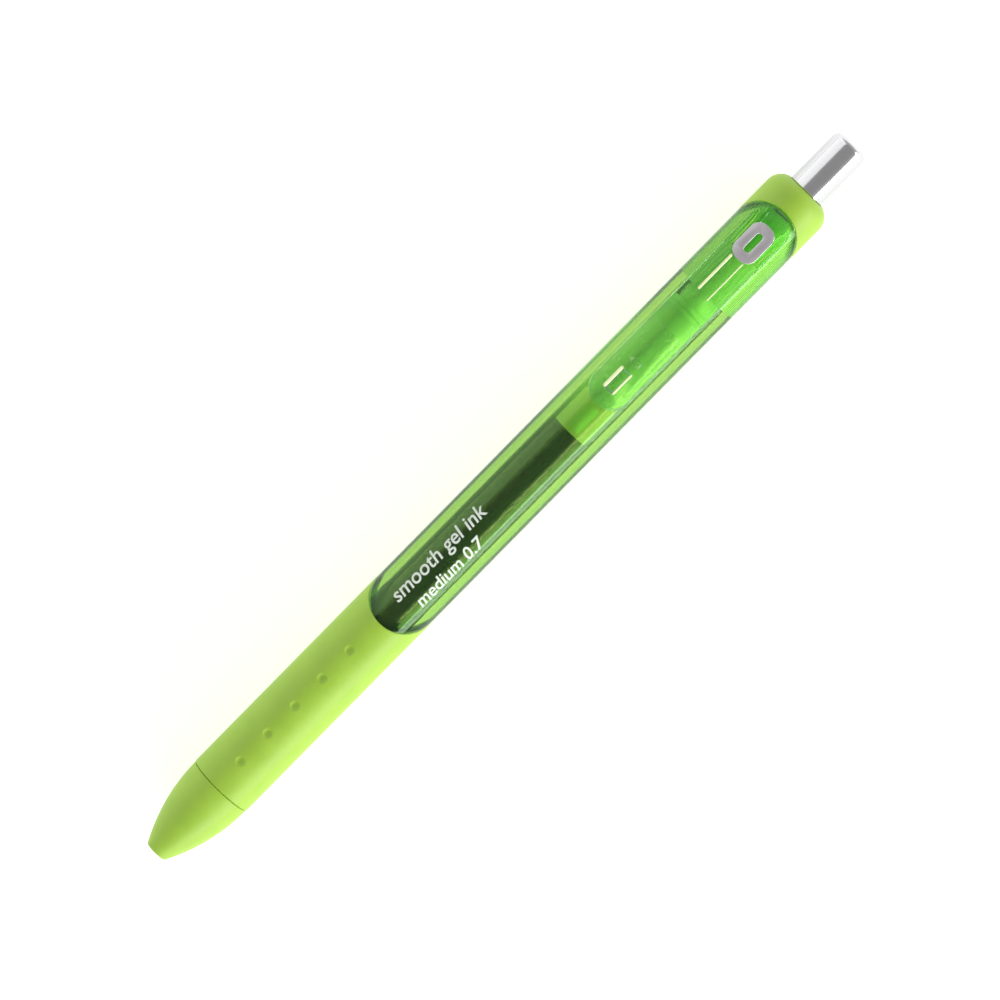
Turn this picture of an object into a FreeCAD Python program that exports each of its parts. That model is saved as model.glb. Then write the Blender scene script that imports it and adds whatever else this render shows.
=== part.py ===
import FreeCAD
import Part
import math
import os

from FreeCAD import Rotation, Vector

# Retractable gel pen, drawn with its point in and its clip on top.
# The solids are built about the pen's axis: a station is a distance along that axis in millimetres,
# measured from the end of the nose, and the clip is on the +Z side.
# place() then lays the pen on the plane Z = 0 with the origin under the middle of its length.

# ---- driving dimensions, mm ------------------------------------------------------------------

# outside lengths
NOSE_LEN = 13.7            # end of the nose to its rear face
BODY_LEN = 122.54          # grip's front face to the end of the collar
BUTTON_OUT = 9.7           # button showing past the collar, point in

# walls, from the refill outwards; together they set the pen's diameter
REFILL_R = 3.0             # outside of the refill tube
TUBE_WALL = 0.6            # refill tube
BORE_GAP = 0.75            # refill to the barrel's bore
BARREL_WALL = 0.65         # barrel under the rubber
SLEEVE_WALL = 0.85         # rubber sleeve

# nose
NOSE_END_R = 1.75          # where the nose's curve meets its flat end
NOSE_EDGE = 0.18           # rounding of that edge
NOSE_INSET = 0.08          # nose's widest part inside the grip's radius, so that the pen lies on its grip
NOSE_SKIN = 0.45           # rubber over the nose's hard core
NOSE_WALL = 0.75           # core around the spring's front seat
SEAM_EDGE = 0.25           # rounding of the two edges at the seam
SEAM_GAP = 0.06            # nose to the grip
POINT_GAP = 0.15           # metal point to the nose's hole
CHAMBER_GAP = 0.25         # spring to the nose's chamber
POINT_GUIDE = 0.3          # least length of the hole round the metal point's full width

# screwed joint of nose and barrel
SPIGOT_LEN = 3.6
SPIGOT_GAP = 0.15          # refill to the spigot's bore
SPIGOT_WALL = 0.5
THREAD_HEIGHT = 0.22
THREAD_PITCH = 1.0
THREAD_TURNS = 2.4
THREAD_GAP = 0.07
THREAD_START = 0.6         # front of the spigot to the thread's centre line
THREAD_ROOT = 0.64         # width at the spigot
THREAD_CREST = 0.16        # width of its flat crest
THREAD_SUNK = 0.15         # depth in the spigot's wall, so that the two join
SPIGOT_STEP = 1.4          # length of the taper from spigot bore to main bore
SPIGOT_END_GAP = 0.3       # spigot's end to the bottom of the nose's socket

# window in the rubber, and the grip's dimples
GRIP_LEN = 34.1            # seam to the window
COLLAR_LEN = 4.35          # window to the end of the collar
WINDOW_MARGIN = 0.05       # window's half width past the body's radius
WINDOW_DROP = 0.7          # how far the window's edges lie under the axis
COLLAR_DOME = 2.8          # rounding of the collar's end
COLLAR_CAP = 2.2           # rubber behind the barrel's end
DIMPLE_ROWS = 3
DIMPLES_IN_ROW = 5
DIMPLE_PITCH = 5.72
DIMPLE_TURN = 4.0          # first row from the top, degrees
DIMPLE_START = 5.3         # seam to the first dimple
DIMPLE_R = 0.7
DIMPLE_DEPTH = 0.3

# point of the refill
TRAVEL = 5.6               # full stroke of the button and the refill
POINT_RECESS = 1.4         # ball behind the nose's end, point in
BALL_R = 0.35
BALL_SHOW = 0.15           # ball past the metal point's rim
BALL_GAP = 0.012
RIM_WALL = 0.12            # metal around the ball
POINT_R = 1.15
POINT_CONE = 2.8
POINT_INSERT = 4.5         # length of the point inside its holder
POINT_BORE_R = 0.72
NIB_BORE_R = 0.2           # ink passage behind the ball
NIB_BORE_LEN = 1.5
TIP_WIRE_D = 0.28          # spring that presses the ball forwards
TIP_SPRING_GAP = 0.04      # to the point's bore, and to the ball
TIP_SPRING_TURNS = 14.0
TIP_SPRING_LEN = 7.0       # coiled length

# holder between point and tube, and the return spring round it
NECK_WALL = 0.6
SPRING_GAP = 0.2           # neck to the coils
WIRE_D = 0.4
SPRING_TURNS = 11.0
SPRING_LEN = 15.0          # as fitted, point in
HOLDER_FREE = 0.5          # holder to the spring's front seat at full stroke
HOLDER_FLANGE = 1.2
HOLDER_PLUG = 5.0          # length inside the tube
HOLDER_FUNNEL = 2.5
FUNNEL_WALL = 0.5

# contents and rear end of the tube
INK_EMPTY = 23.85          # ink's rear end to the tube's rear end
FOLLOWER_LEN = 6.5
FLOAT_LEN = 4.6            # plastic float in the follower
FLOAT_R = 0.8
FLOAT_INSET = 0.4          # ink to the float
FLOAT_EDGE = 0.24
PLUG_FLANGE = 0.7
PLUG_LEN = 3.0             # end plug inside the tube
PLUG_VENT_R = 0.5

# click mechanism
BARREL_FLANGE = 1.0        # inward flange at the barrel's rear
BUTTON_R = 3.05
BUTTON_WALL = 0.35
BUTTON_ROUND = 1.2
BUTTON_IN = 2.4            # button cap inside the cam sleeve, point in
BUTTON_GAP = 0.1           # button cap to the cam sleeve's bore
HOLE_GAP = 0.05            # collar's hole past that bore
END_GAP = 0.5              # room left under the cap at full stroke
CAM_WALL = 0.3             # cam sleeve behind its grooves
RIB_GAP = 0.05             # ribs to the grooves' floor
RIB_HEIGHT = 0.75          # ribs above the plunger and rotor bodies
CORE_GAP = 0.1             # plunger and rotor to the cam's lands
RIB_WIDTH = 1.4
RIB_SIDE_GAP = 0.15
RIBS = 4
PLUNGER_RIB = 3.1
ROTOR_RIB = 3.0
STOP_GAP = 0.1
TOOTH = 0.8
TOOTH_GAP = 0.2
TEETH = 8
NOTCH_OVERRUN = 0.3        # share of a notch's size by which its cut runs past the end face
INDEX_GAP = 0.5            # rotor ribs past the cam at full stroke
PLUNGER_BORE_R = 1.3
PLUNGER_BORE_LEN = 15.0
ROTOR_BORE_R = 1.2
ROTOR_BORE_LEN = 4.0
ROTOR_BODY = 1.8           # rotor body in front of its ribs
ROTOR_STEM = 4.0
ROTOR_STEM_R = 2.0
ROTOR_FOOT = 1.0           # length of the stem's foot
ROTOR_FOOT_R = 2.6
STEP_LEAD = 0.8            # barrel's step in front of the cam sleeve

# clip
CLIP_LEN = 38.7
CLIP_WIDTH = 6.5
CLIP_THICK = 1.35
CLIP_REAR_GAP = 0.3        # clip's rear end to the window's rear end
CLIP_ROOT_RISE = 1.45      # underside of the arm over the barrel, at the root
CLIP_TIP_RISE = 0.85       # and at the free end
CLIP_ROOT_LEN = 8.3        # solid head, from the clip's rear end
CLIP_BACK = 2.3            # length of the head's sloping back
CLIP_BACK_DROP = 1.9
CLIP_EDGE = 0.3
CLIP_SEAT_GAP = 0.12       # head and foot to the barrel
FOOT_LEN = 6.6
FOOT_WIDTH = 4.0
FOOT_BACK = 0.9            # clip's rear end to the foot
FOOT_DEPTH = 0.9           # foot in the barrel
NUB_START = 2.4            # clip's free end to the nub
NUB_LEN = 4.4
NUB_WIDTH = 2.2
NUB_SLOPE = 0.45
NUB_GAP = 0.06             # nub to the barrel
GROOVE_WIDTH = 2.06
GROOVE_DEPTH = 0.6
GROOVE_LEN = 8.2           # groove in front of the badge
BADGE_LEN = 6.5
BADGE_WIDTH = 4.05
BADGE_THICK = 0.5
BADGE_PROUD = 0.12
BADGE_CORNER = 1.7
BADGE_BACK = 2.75          # clip's rear end to the badge
BADGE_SLOT_LEN = 3.4
BADGE_SLOT_WIDTH = 1.1

# ---- derived sizes ---------------------------------------------------------------------------

TUBE_BORE_R = REFILL_R - TUBE_WALL
BORE_R = REFILL_R + BORE_GAP
BARREL_R = BORE_R + BARREL_WALL
BODY_R = BARREL_R + SLEEVE_WALL
NOSE_R = BODY_R - NOSE_INSET
POINT_HOLE_R = POINT_R + POINT_GAP
NECK_R = POINT_R + NECK_WALL
COIL_R = NECK_R + SPRING_GAP + WIRE_D / 2
CHAMBER_R = COIL_R + WIRE_D / 2 + CHAMBER_GAP
SPIGOT_BORE_R = REFILL_R + SPIGOT_GAP
SPIGOT_R = SPIGOT_BORE_R + SPIGOT_WALL
SOCKET_R = SPIGOT_R + THREAD_HEIGHT + THREAD_GAP
CAP_BORE_R = BUTTON_R - BUTTON_WALL
CAM_BORE_R = BUTTON_R + BUTTON_GAP
COLLAR_HOLE_R = CAM_BORE_R + HOLE_GAP
CORE_R = CAP_BORE_R - CORE_GAP
LAND_R = CORE_R + CORE_GAP
RIB_R = CORE_R + RIB_HEIGHT
GROOVE_R = RIB_R + RIB_GAP
CAM_R = GROOVE_R + CAM_WALL

# stations
SEAM = NOSE_LEN + SEAM_GAP
COLLAR_END = SEAM + BODY_LEN
BUTTON_END = COLLAR_END + BUTTON_OUT
WINDOW_START = SEAM + GRIP_LEN
WINDOW_END = COLLAR_END - COLLAR_LEN
BARREL_END = COLLAR_END - COLLAR_CAP
CAM_REAR = BARREL_END - BARREL_FLANGE
BUTTON_FRONT = CAM_REAR - BUTTON_IN
STOP = BUTTON_FRONT - TRAVEL - END_GAP
PLUNGER_RIB_REAR = STOP - STOP_GAP
PLUNGER_RIB_FRONT = PLUNGER_RIB_REAR - PLUNGER_RIB
PLUNGER_FRONT = PLUNGER_RIB_FRONT - TOOTH
ROTOR_RIB_REAR = PLUNGER_FRONT - TOOTH_GAP
CAM_FRONT = ROTOR_RIB_REAR - TRAVEL + INDEX_GAP
ROTOR_RIB_FRONT = ROTOR_RIB_REAR - ROTOR_RIB
ROTOR_BODY_FRONT = ROTOR_RIB_FRONT - ROTOR_BODY
TUBE_REAR = ROTOR_BODY_FRONT - ROTOR_STEM - PLUG_FLANGE
STEP = CAM_FRONT - STEP_LEAD
SPIGOT_FRONT = SEAM - SPIGOT_LEN
SOCKET_FRONT = SPIGOT_FRONT - SPIGOT_END_GAP
BALL_CENTRE = POINT_RECESS + BALL_R
RIM = POINT_RECESS + BALL_SHOW
NOSE_ARC_R = (NOSE_LEN ** 2 + (NOSE_R - NOSE_END_R) ** 2) / (2 * (NOSE_R - NOSE_END_R))
NOSE_ARC_AXIS = NOSE_R - NOSE_ARC_R


def nose_station(radius, skin):
    """Station at which the nose's curve, skin mm under its surface, has this radius."""
    reach = math.sqrt((NOSE_ARC_R - skin) ** 2 - (radius - NOSE_ARC_AXIS) ** 2)
    return NOSE_LEN - reach


def nose_radius(station, skin):
    """Radius of the nose's curve at a station, skin mm under its surface."""
    return NOSE_ARC_AXIS + math.sqrt((NOSE_ARC_R - skin) ** 2 - (NOSE_LEN - station) ** 2)


SPRING_SEAT = max(nose_station(CHAMBER_R + NOSE_WALL, NOSE_SKIN), RIM + POINT_CONE + POINT_GUIDE)
SHOULDER = SPRING_SEAT + SPRING_LEN
HOLDER_FRONT = SPRING_SEAT + TRAVEL + HOLDER_FREE
POINT_REAR = HOLDER_FRONT + POINT_INSERT
TUBE_FRONT = SHOULDER + HOLDER_FLANGE
HOLDER_REAR = TUBE_FRONT + HOLDER_PLUG
INK_REAR = TUBE_REAR - INK_EMPTY
CLIP_REAR = WINDOW_END - CLIP_REAR_GAP
CLIP_FRONT = CLIP_REAR - CLIP_LEN
ROOT_FRONT = CLIP_REAR - CLIP_ROOT_LEN
ROOT_TOP = BODY_R + CLIP_ROOT_RISE + CLIP_THICK
TIP_TOP = BODY_R + CLIP_TIP_RISE + CLIP_THICK
BADGE_REAR = CLIP_REAR - BADGE_BACK
BADGE_FRONT = BADGE_REAR - BADGE_LEN


# ---- shape helpers ---------------------------------------------------------------------------

def rod(start, end, radius):
    """Solid cylinder on the axis between two stations."""
    return Part.makeCylinder(radius, end - start, Vector(start, 0, 0), Vector(1, 0, 0))


def ring(start, end, bore, radius):
    """Tube on the axis between two stations."""
    return rod(start, end, radius).cut(rod(start, end, bore))


def cone(start, end, start_radius, end_radius):
    """Solid cone on the axis between two stations."""
    return Part.makeCone(start_radius, end_radius, end - start, Vector(start, 0, 0), Vector(1, 0, 0))


def revolve(edges):
    """Solid of revolution about the axis from a closed outline of edges in the XY plane."""
    face = Part.Face(Part.Wire(edges))
    return face.revolve(Vector(0, 0, 0), Vector(1, 0, 0), 360)


def line(start, end):
    """Straight edge between two (station, radius) points."""
    return Part.makeLine(Vector(start[0], start[1], 0), Vector(end[0], end[1], 0))


def polygon(points):
    """Edges of a closed polygon through (station, radius) points."""
    return [line(a, b) for a, b in zip(points, points[1:] + points[:1])]


def arc(start, middle, end):
    """Circular edge through three (station, radius) points."""
    return Part.Arc(*(Vector(p[0], p[1], 0) for p in (start, middle, end))).toShape()


def box(x_range, y_range, z_range):
    """Box between two stations, two Y values and two Z values."""
    size = [high - low for low, high in (x_range, y_range, z_range)]
    return Part.makeBox(*size, Vector(x_range[0], y_range[0], z_range[0]))


def turned(shape, degrees):
    """Copy of a shape turned about the pen's axis."""
    copy = shape.copy()
    copy.rotate(Vector(0, 0, 0), Vector(1, 0, 0), degrees)
    return copy


def fused(shapes):
    """One solid from touching or crossing shapes."""
    shapes = list(shapes)
    return shapes[0].multiFuse(shapes[1:]).removeSplitter()


def rounded_plate(x_range, width, corner, z_range):
    """Upright prism whose plan is a rectangle with rounded corners, centred on the axis.

    A corner of half the width gives round ends.
    """
    x0, x1 = x_range
    h = width / 2
    if corner >= h:
        outline = [
            arc((x0 + h, h), (x0, 0), (x0 + h, -h)),
            line((x0 + h, -h), (x1 - h, -h)),
            arc((x1 - h, -h), (x1, 0), (x1 - h, h)),
            line((x1 - h, h), (x0 + h, h)),
        ]
    else:
        outline = corner_outline(x0, x1, h, corner)
    face = Part.Face(Part.Wire(outline))
    face.translate(Vector(0, 0, z_range[0]))
    return face.extrude(Vector(0, 0, z_range[1] - z_range[0]))


def corner_outline(x0, x1, h, c):
    """Edges of a rectangle from x0 to x1 and h to each side, with corners of radius c."""
    k = c * (1 - math.sqrt(0.5))
    corners = [
        ((x0, -h + c), (x0 + k, -h + k), (x0 + c, -h)),
        ((x1 - c, -h), (x1 - k, -h + k), (x1, -h + c)),
        ((x1, h - c), (x1 - k, h - k), (x1 - c, h)),
        ((x0 + c, h), (x0 + k, h - k), (x0, h - c)),
    ]
    edges = []
    for here, after in zip(corners, corners[1:] + corners[:1]):
        edges.append(arc(*here))
        edges.append(line(here[2], after[0]))
    return edges


def side_prism(points, width):
    """Prism from a closed (station, Z) polygon, centred across the pen."""
    corners = [Vector(x, -width / 2, z) for x, z in points]
    face = Part.Face(Part.makePolygon(corners + corners[:1]))
    return face.extrude(Vector(0, width, 0))


def crown_notches(station, depth, phase):
    """V cuts across the end of a ring, apex at station + depth; depth is negative to cut forwards."""
    reach = GROOVE_R + 1
    half = math.pi * CORE_R / TEETH
    past = station - NOTCH_OVERRUN * depth
    wide = half * (1 + NOTCH_OVERRUN)
    corners = [
        Vector(station + depth, 0, 0),
        Vector(past, -wide, 0),
        Vector(past, wide, 0),
    ]
    prism = Part.Face(Part.makePolygon(corners + corners[:1])).extrude(Vector(0, 0, reach))
    return [turned(prism, phase + 360 / TEETH * i) for i in range(TEETH)]


def coil_wire(start, length, turns, radius, wire):
    """Round wire wound about the axis; start and length are those of the wire's centre line."""
    helix = Part.makeHelix(length / turns, length, radius)
    circle = Part.Circle(Vector(radius, 0, 0), Vector(0, 1, 0), wire / 2)
    section = Part.Wire(circle.toShape())
    coil = Part.Wire(helix.Edges).makePipeShell([section], True, True)
    coil = Part.Solid(coil) if coil.ShapeType == "Shell" else coil
    coil.Placement = FreeCAD.Placement(Vector(start, 0, 0), Rotation(Vector(0, 0, 1), Vector(1, 0, 0)))
    return coil


def ribs(start, end, radius, width):
    """Straight splines, from the axis out to a radius."""
    one = box((start, end), (-width / 2, width / 2), (0, radius + 1))
    spokes = [turned(one, 360 / RIBS * i) for i in range(RIBS)]
    return fused(spokes).common(rod(start, end, radius))


def place(shape):
    """Moves a solid from the axis frame to the part's own frame."""
    moved = shape.copy()
    moved.translate(Vector(-BUTTON_END / 2, 0, BODY_R))
    return moved


# ---- nose ------------------------------------------------------------------------------------

def nose_arc(start, skin):
    """The nose's curve, skin mm under its surface, from a station to the seam."""
    middle = (start + NOSE_LEN) / 2
    return arc(
        (start, nose_radius(start, skin)),
        (middle, nose_radius(middle, skin)),
        (NOSE_LEN, NOSE_R - skin),
    )


def nose_skin():
    """Rubber over the nose, wrapped round the front of the hard core."""
    outer_start = nose_radius(0, 0)
    inner_start = nose_radius(NOSE_SKIN, NOSE_SKIN)
    edges = [
        line((0, POINT_HOLE_R), (0, outer_start)),
        nose_arc(0, 0),
        line((NOSE_LEN, NOSE_R), (NOSE_LEN, NOSE_R - NOSE_SKIN)),
        nose_arc(NOSE_SKIN, NOSE_SKIN),
        line((NOSE_SKIN, inner_start), (NOSE_SKIN, POINT_HOLE_R)),
        line((NOSE_SKIN, POINT_HOLE_R), (0, POINT_HOLE_R)),
    ]
    skin = revolve(edges)
    front = [e for e in skin.Edges if is_circle_at(e, 0, outer_start)]
    skin = skin.makeFillet(NOSE_EDGE, front)
    rear = [e for e in skin.Edges if is_circle_at(e, NOSE_LEN, NOSE_R)]
    return skin.makeFillet(min(SEAM_EDGE, 0.8 * NOSE_SKIN), rear)


def is_circle_at(edge, station, radius):
    """True for a round edge on the axis with this station and radius."""
    curve = edge.Curve
    if not isinstance(curve, Part.Circle):
        return False
    return abs(curve.Center.x - station) < 1e-4 and abs(curve.Radius - radius) < 1e-4


def nose_core():
    """Hard inside of the nose: hole for the point, spring chamber, screw socket."""
    edges = [
        line((NOSE_SKIN, 0), (NOSE_SKIN, nose_radius(NOSE_SKIN, NOSE_SKIN))),
        nose_arc(NOSE_SKIN, NOSE_SKIN),
        line((NOSE_LEN, NOSE_R - NOSE_SKIN), (NOSE_LEN, 0)),
        line((NOSE_LEN, 0), (NOSE_SKIN, 0)),
    ]
    core = revolve(edges)
    core = core.cut(rod(0, SPRING_SEAT + 1, POINT_HOLE_R))
    core = core.cut(rod(SPRING_SEAT, NOSE_LEN, CHAMBER_R))
    core = core.cut(rod(SOCKET_FRONT, NOSE_LEN, SOCKET_R))
    return core.removeSplitter()


# ---- barrel and sleeve -----------------------------------------------------------------------

def window_prism(margin, drop):
    """Upright prism over the window, from its side edges under the axis to above the pen."""
    half = BODY_R + margin
    return rounded_plate((WINDOW_START, WINDOW_END), 2 * half, half, (-drop, BODY_R + 1))


def thread():
    """Round-topped screw ridge on the spigot."""
    start = SPIGOT_FRONT + THREAD_START
    helix = Part.makeHelix(THREAD_PITCH, THREAD_TURNS * THREAD_PITCH, SPIGOT_R)
    sunk = SPIGOT_R - THREAD_SUNK
    base = THREAD_ROOT / 2
    crest = SPIGOT_R + THREAD_HEIGHT
    flat = THREAD_CREST / 2
    profile = Part.makePolygon([
        Vector(sunk, 0, -base),
        Vector(crest, 0, -flat),
        Vector(crest, 0, flat),
        Vector(sunk, 0, base),
        Vector(sunk, 0, -base),
    ])
    ridge = Part.Wire(helix.Edges).makePipeShell([profile], True, True)
    ridge = Part.Solid(ridge) if ridge.ShapeType == "Shell" else ridge
    ridge.Placement = FreeCAD.Placement(Vector(start, 0, 0), Rotation(Vector(0, 0, 1), Vector(1, 0, 0)))
    return ridge


def foot_box(gap):
    """Space of the clip's foot in the barrel, grown by a gap."""
    rear = CLIP_REAR - FOOT_BACK
    return box(
        (rear - FOOT_LEN - gap, rear + gap),
        (-FOOT_WIDTH / 2 - gap, FOOT_WIDTH / 2 + gap),
        (BODY_R - FOOT_DEPTH - gap, BODY_R + CLIP_ROOT_RISE),
    )


def barrel():
    """Clear tinted barrel: thin under the rubber, full thickness in the window."""
    under_rubber = ring(SEAM, BARREL_END, BARREL_R, BODY_R + 1)
    under_rubber = under_rubber.cut(window_prism(WINDOW_MARGIN, WINDOW_DROP))
    bore = fused([
        cone(SEAM, SEAM + SPIGOT_STEP, SPIGOT_BORE_R, BORE_R),
        rod(SEAM + SPIGOT_STEP, STEP, BORE_R),
        rod(STEP, CAM_REAR, CAM_R),
        rod(CAM_REAR, BARREL_END, COLLAR_HOLE_R),
    ])
    body = rod(SEAM, BARREL_END, BODY_R).cut(under_rubber).cut(bore)
    spigot = ring(SPIGOT_FRONT, SEAM, SPIGOT_BORE_R, SPIGOT_R).fuse(thread())
    return body.fuse(spigot).cut(foot_box(CLIP_SEAT_GAP))


def dimple(station, degrees):
    """Ball that leaves one shallow round dimple in the grip."""
    ball_r = (DIMPLE_R ** 2 + DIMPLE_DEPTH ** 2) / (2 * DIMPLE_DEPTH)
    centre = Vector(station, 0, BODY_R - DIMPLE_DEPTH + ball_r)
    ball = Part.makeSphere(ball_r, centre, Vector(1, 0, 0))
    return turned(ball, degrees)


def grip_sleeve():
    """Rubber sleeve: grip, back and collar in one, open over the window."""
    edges = [
        line((SEAM, 0), (SEAM, BODY_R)),
        line((SEAM, BODY_R), (COLLAR_END - COLLAR_DOME, BODY_R)),
        arc(
            (COLLAR_END - COLLAR_DOME, BODY_R),
            (COLLAR_END - COLLAR_DOME * (1 - math.sqrt(0.5)), BODY_R - COLLAR_DOME * (1 - math.sqrt(0.5))),
            (COLLAR_END, BODY_R - COLLAR_DOME),
        ),
        line((COLLAR_END, BODY_R - COLLAR_DOME), (COLLAR_END, 0)),
        line((COLLAR_END, 0), (SEAM, 0)),
    ]
    skin = revolve(edges)
    edge = [e for e in skin.Edges if is_circle_at(e, SEAM, BODY_R)]
    skin = skin.makeFillet(SEAM_EDGE, edge)
    skin = skin.cut(rod(SEAM, BARREL_END, BARREL_R))
    skin = skin.cut(rod(BARREL_END, COLLAR_END, COLLAR_HOLE_R))
    skin = skin.cut(window_prism(WINDOW_MARGIN, WINDOW_DROP))
    balls = [
        dimple(SEAM + DIMPLE_START + DIMPLE_PITCH * i, 360 / DIMPLE_ROWS * row - DIMPLE_TURN)
        for row in range(DIMPLE_ROWS)
        for i in range(DIMPLES_IN_ROW)
    ]
    return skin.cut(Part.makeCompound(balls))


# ---- click mechanism -------------------------------------------------------------------------

def cam_sleeve():
    """Fixed sleeve: plain bore for the button, four grooves and toothed front for the rotor."""
    sleeve = ring(CAM_FRONT, CAM_REAR, LAND_R, CAM_R)
    sleeve = sleeve.cut(rod(STOP, CAM_REAR, CAM_BORE_R))
    sleeve = sleeve.cut(ribs(CAM_FRONT, STOP, GROOVE_R, RIB_WIDTH + 2 * RIB_SIDE_GAP))
    front = crown_notches(CAM_FRONT, TOOTH, 180 / TEETH)
    inner = fused(front).common(rod(CAM_FRONT - TOOTH, CAM_FRONT + 2 * TOOTH, GROOVE_R))
    return sleeve.cut(inner)


def plunger():
    """Plastic core of the button, with guide ribs and a toothed front."""
    body = fused([
        rod(PLUNGER_FRONT, BUTTON_FRONT, CORE_R),
        rod(BUTTON_FRONT, BUTTON_END - BUTTON_WALL, CAP_BORE_R),
        ribs(PLUNGER_RIB_FRONT, PLUNGER_RIB_REAR, RIB_R, RIB_WIDTH),
    ])
    inside = BUTTON_ROUND - BUTTON_WALL
    rim = [e for e in body.Edges if is_circle_at(e, BUTTON_END - BUTTON_WALL, CAP_BORE_R)]
    body = body.makeFillet(inside, rim)
    body = body.cut(rod(PLUNGER_FRONT, PLUNGER_FRONT + PLUNGER_BORE_LEN, PLUNGER_BORE_R))
    return body.cut(fused(crown_notches(PLUNGER_FRONT, TOOTH, 0)))


def button_cap():
    """Drawn metal cap of the button."""
    outside = rod(BUTTON_FRONT, BUTTON_END, BUTTON_R)
    rim = [e for e in outside.Edges if is_circle_at(e, BUTTON_END, BUTTON_R)]
    outside = outside.makeFillet(BUTTON_ROUND, rim)
    inside = rod(BUTTON_FRONT, BUTTON_END - BUTTON_WALL, CAP_BORE_R)
    rim = [e for e in inside.Edges if is_circle_at(e, BUTTON_END - BUTTON_WALL, CAP_BORE_R)]
    return outside.cut(inside.makeFillet(BUTTON_ROUND - BUTTON_WALL, rim))


def rotor():
    """Index rotor: toothed rear, four ribs, and a stem that stands on the refill."""
    rear = ROTOR_RIB_REAR + TOOTH
    body = fused([
        rod(ROTOR_BODY_FRONT, rear, CORE_R),
        ribs(ROTOR_RIB_FRONT, ROTOR_RIB_REAR, RIB_R, RIB_WIDTH),
        rod(ROTOR_BODY_FRONT - ROTOR_STEM, ROTOR_BODY_FRONT, ROTOR_STEM_R),
        rod(ROTOR_BODY_FRONT - ROTOR_STEM, ROTOR_BODY_FRONT - ROTOR_STEM + ROTOR_FOOT, ROTOR_FOOT_R),
    ])
    body = body.cut(rod(rear - ROTOR_BORE_LEN, rear, ROTOR_BORE_R))
    return body.cut(fused(crown_notches(rear, -TOOTH, 180 / TEETH)))


# ---- refill ----------------------------------------------------------------------------------

def refill_tube():
    """Clear tube of the refill."""
    return ring(TUBE_FRONT, TUBE_REAR, TUBE_BORE_R, REFILL_R)


def tip_holder():
    """Moulded holder that joins the metal point to the tube and carries the spring's rear end."""
    body = fused([
        rod(HOLDER_FRONT, SHOULDER, NECK_R),
        rod(SHOULDER, TUBE_FRONT, REFILL_R),
        rod(TUBE_FRONT, HOLDER_REAR, TUBE_BORE_R),
    ])
    body = body.cut(rod(HOLDER_FRONT, POINT_REAR, POINT_R))
    body = body.cut(rod(POINT_REAR, HOLDER_REAR, POINT_BORE_R))
    return body.cut(holder_funnel())


def holder_funnel():
    """Wide mouth of the holder's ink passage."""
    mouth = TUBE_BORE_R - FUNNEL_WALL
    return cone(HOLDER_REAR - HOLDER_FUNNEL, HOLDER_REAR, POINT_BORE_R, mouth)


def metal_point():
    """Turned metal point with the ball's socket."""
    rim_r = math.sqrt((BALL_R + BALL_GAP) ** 2 - (BALL_CENTRE - RIM) ** 2) + RIM_WALL
    body = fused([
        cone(RIM, RIM + POINT_CONE, rim_r, POINT_R),
        rod(RIM + POINT_CONE, POINT_REAR, POINT_R),
    ])
    socket = Part.makeSphere(BALL_R + BALL_GAP, Vector(BALL_CENTRE, 0, 0))
    passage = rod(BALL_CENTRE, BALL_CENTRE + NIB_BORE_LEN + BALL_R, NIB_BORE_R)
    bore = rod(BALL_CENTRE + NIB_BORE_LEN, POINT_REAR, POINT_BORE_R)
    return body.cut(socket).cut(passage).cut(bore)


def writing_ball():
    """Ball of the point."""
    return Part.makeSphere(BALL_R, Vector(BALL_CENTRE, 0, 0))


def tip_spring():
    """Fine spring in the point's bore, with a straight end that reaches the ball."""
    coil_r = POINT_BORE_R - TIP_SPRING_GAP - TIP_WIRE_D / 2
    start = BALL_CENTRE + NIB_BORE_LEN + BALL_R + TIP_WIRE_D
    coils = coil_wire(start, TIP_SPRING_LEN, TIP_SPRING_TURNS, coil_r, TIP_WIRE_D)
    stem = rod(BALL_CENTRE + BALL_R + TIP_SPRING_GAP, start, TIP_WIRE_D / 2)
    arm = Part.makeCylinder(TIP_WIRE_D / 2, coil_r, Vector(start, 0, 0), Vector(0, 0, -1))
    return fused([coils, stem, arm])


def ink_column():
    """Ink from the point's bore back to its free surface in the tube."""
    return fused([
        rod(BALL_CENTRE + NIB_BORE_LEN, HOLDER_REAR, POINT_BORE_R),
        holder_funnel(),
        rod(HOLDER_REAR, INK_REAR, TUBE_BORE_R),
    ])


def follower_float():
    """Plastic float that stiffens the grease follower."""
    start = INK_REAR + FLOAT_INSET
    body = rod(start, start + FLOAT_LEN, FLOAT_R)
    return body.makeFillet(FLOAT_EDGE, [e for e in body.Edges if isinstance(e.Curve, Part.Circle)])


def ink_follower():
    """Grease follower behind the ink, around its float."""
    return rod(INK_REAR, INK_REAR + FOLLOWER_LEN, TUBE_BORE_R).cut(follower_float())


def end_plug():
    """Vented plug in the tube's rear end."""
    plug = fused([
        rod(TUBE_REAR - PLUG_LEN, TUBE_REAR, TUBE_BORE_R),
        rod(TUBE_REAR, TUBE_REAR + PLUG_FLANGE, REFILL_R),
    ])
    vent = rod(TUBE_REAR - PLUG_LEN, TUBE_REAR + PLUG_FLANGE, PLUG_VENT_R)
    across = box(
        (TUBE_REAR + PLUG_FLANGE / 2, TUBE_REAR + PLUG_FLANGE),
        (-REFILL_R, REFILL_R),
        (-PLUG_VENT_R, PLUG_VENT_R),
    )
    return plug.cut(vent).cut(across)


def return_spring():
    """Compression spring from the nose's seat to the holder's shoulder."""
    return coil_wire(SPRING_SEAT + WIRE_D / 2, SPRING_LEN - WIRE_D, SPRING_TURNS, COIL_R, WIRE_D)


# ---- clip ------------------------------------------------------------------------------------

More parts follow.
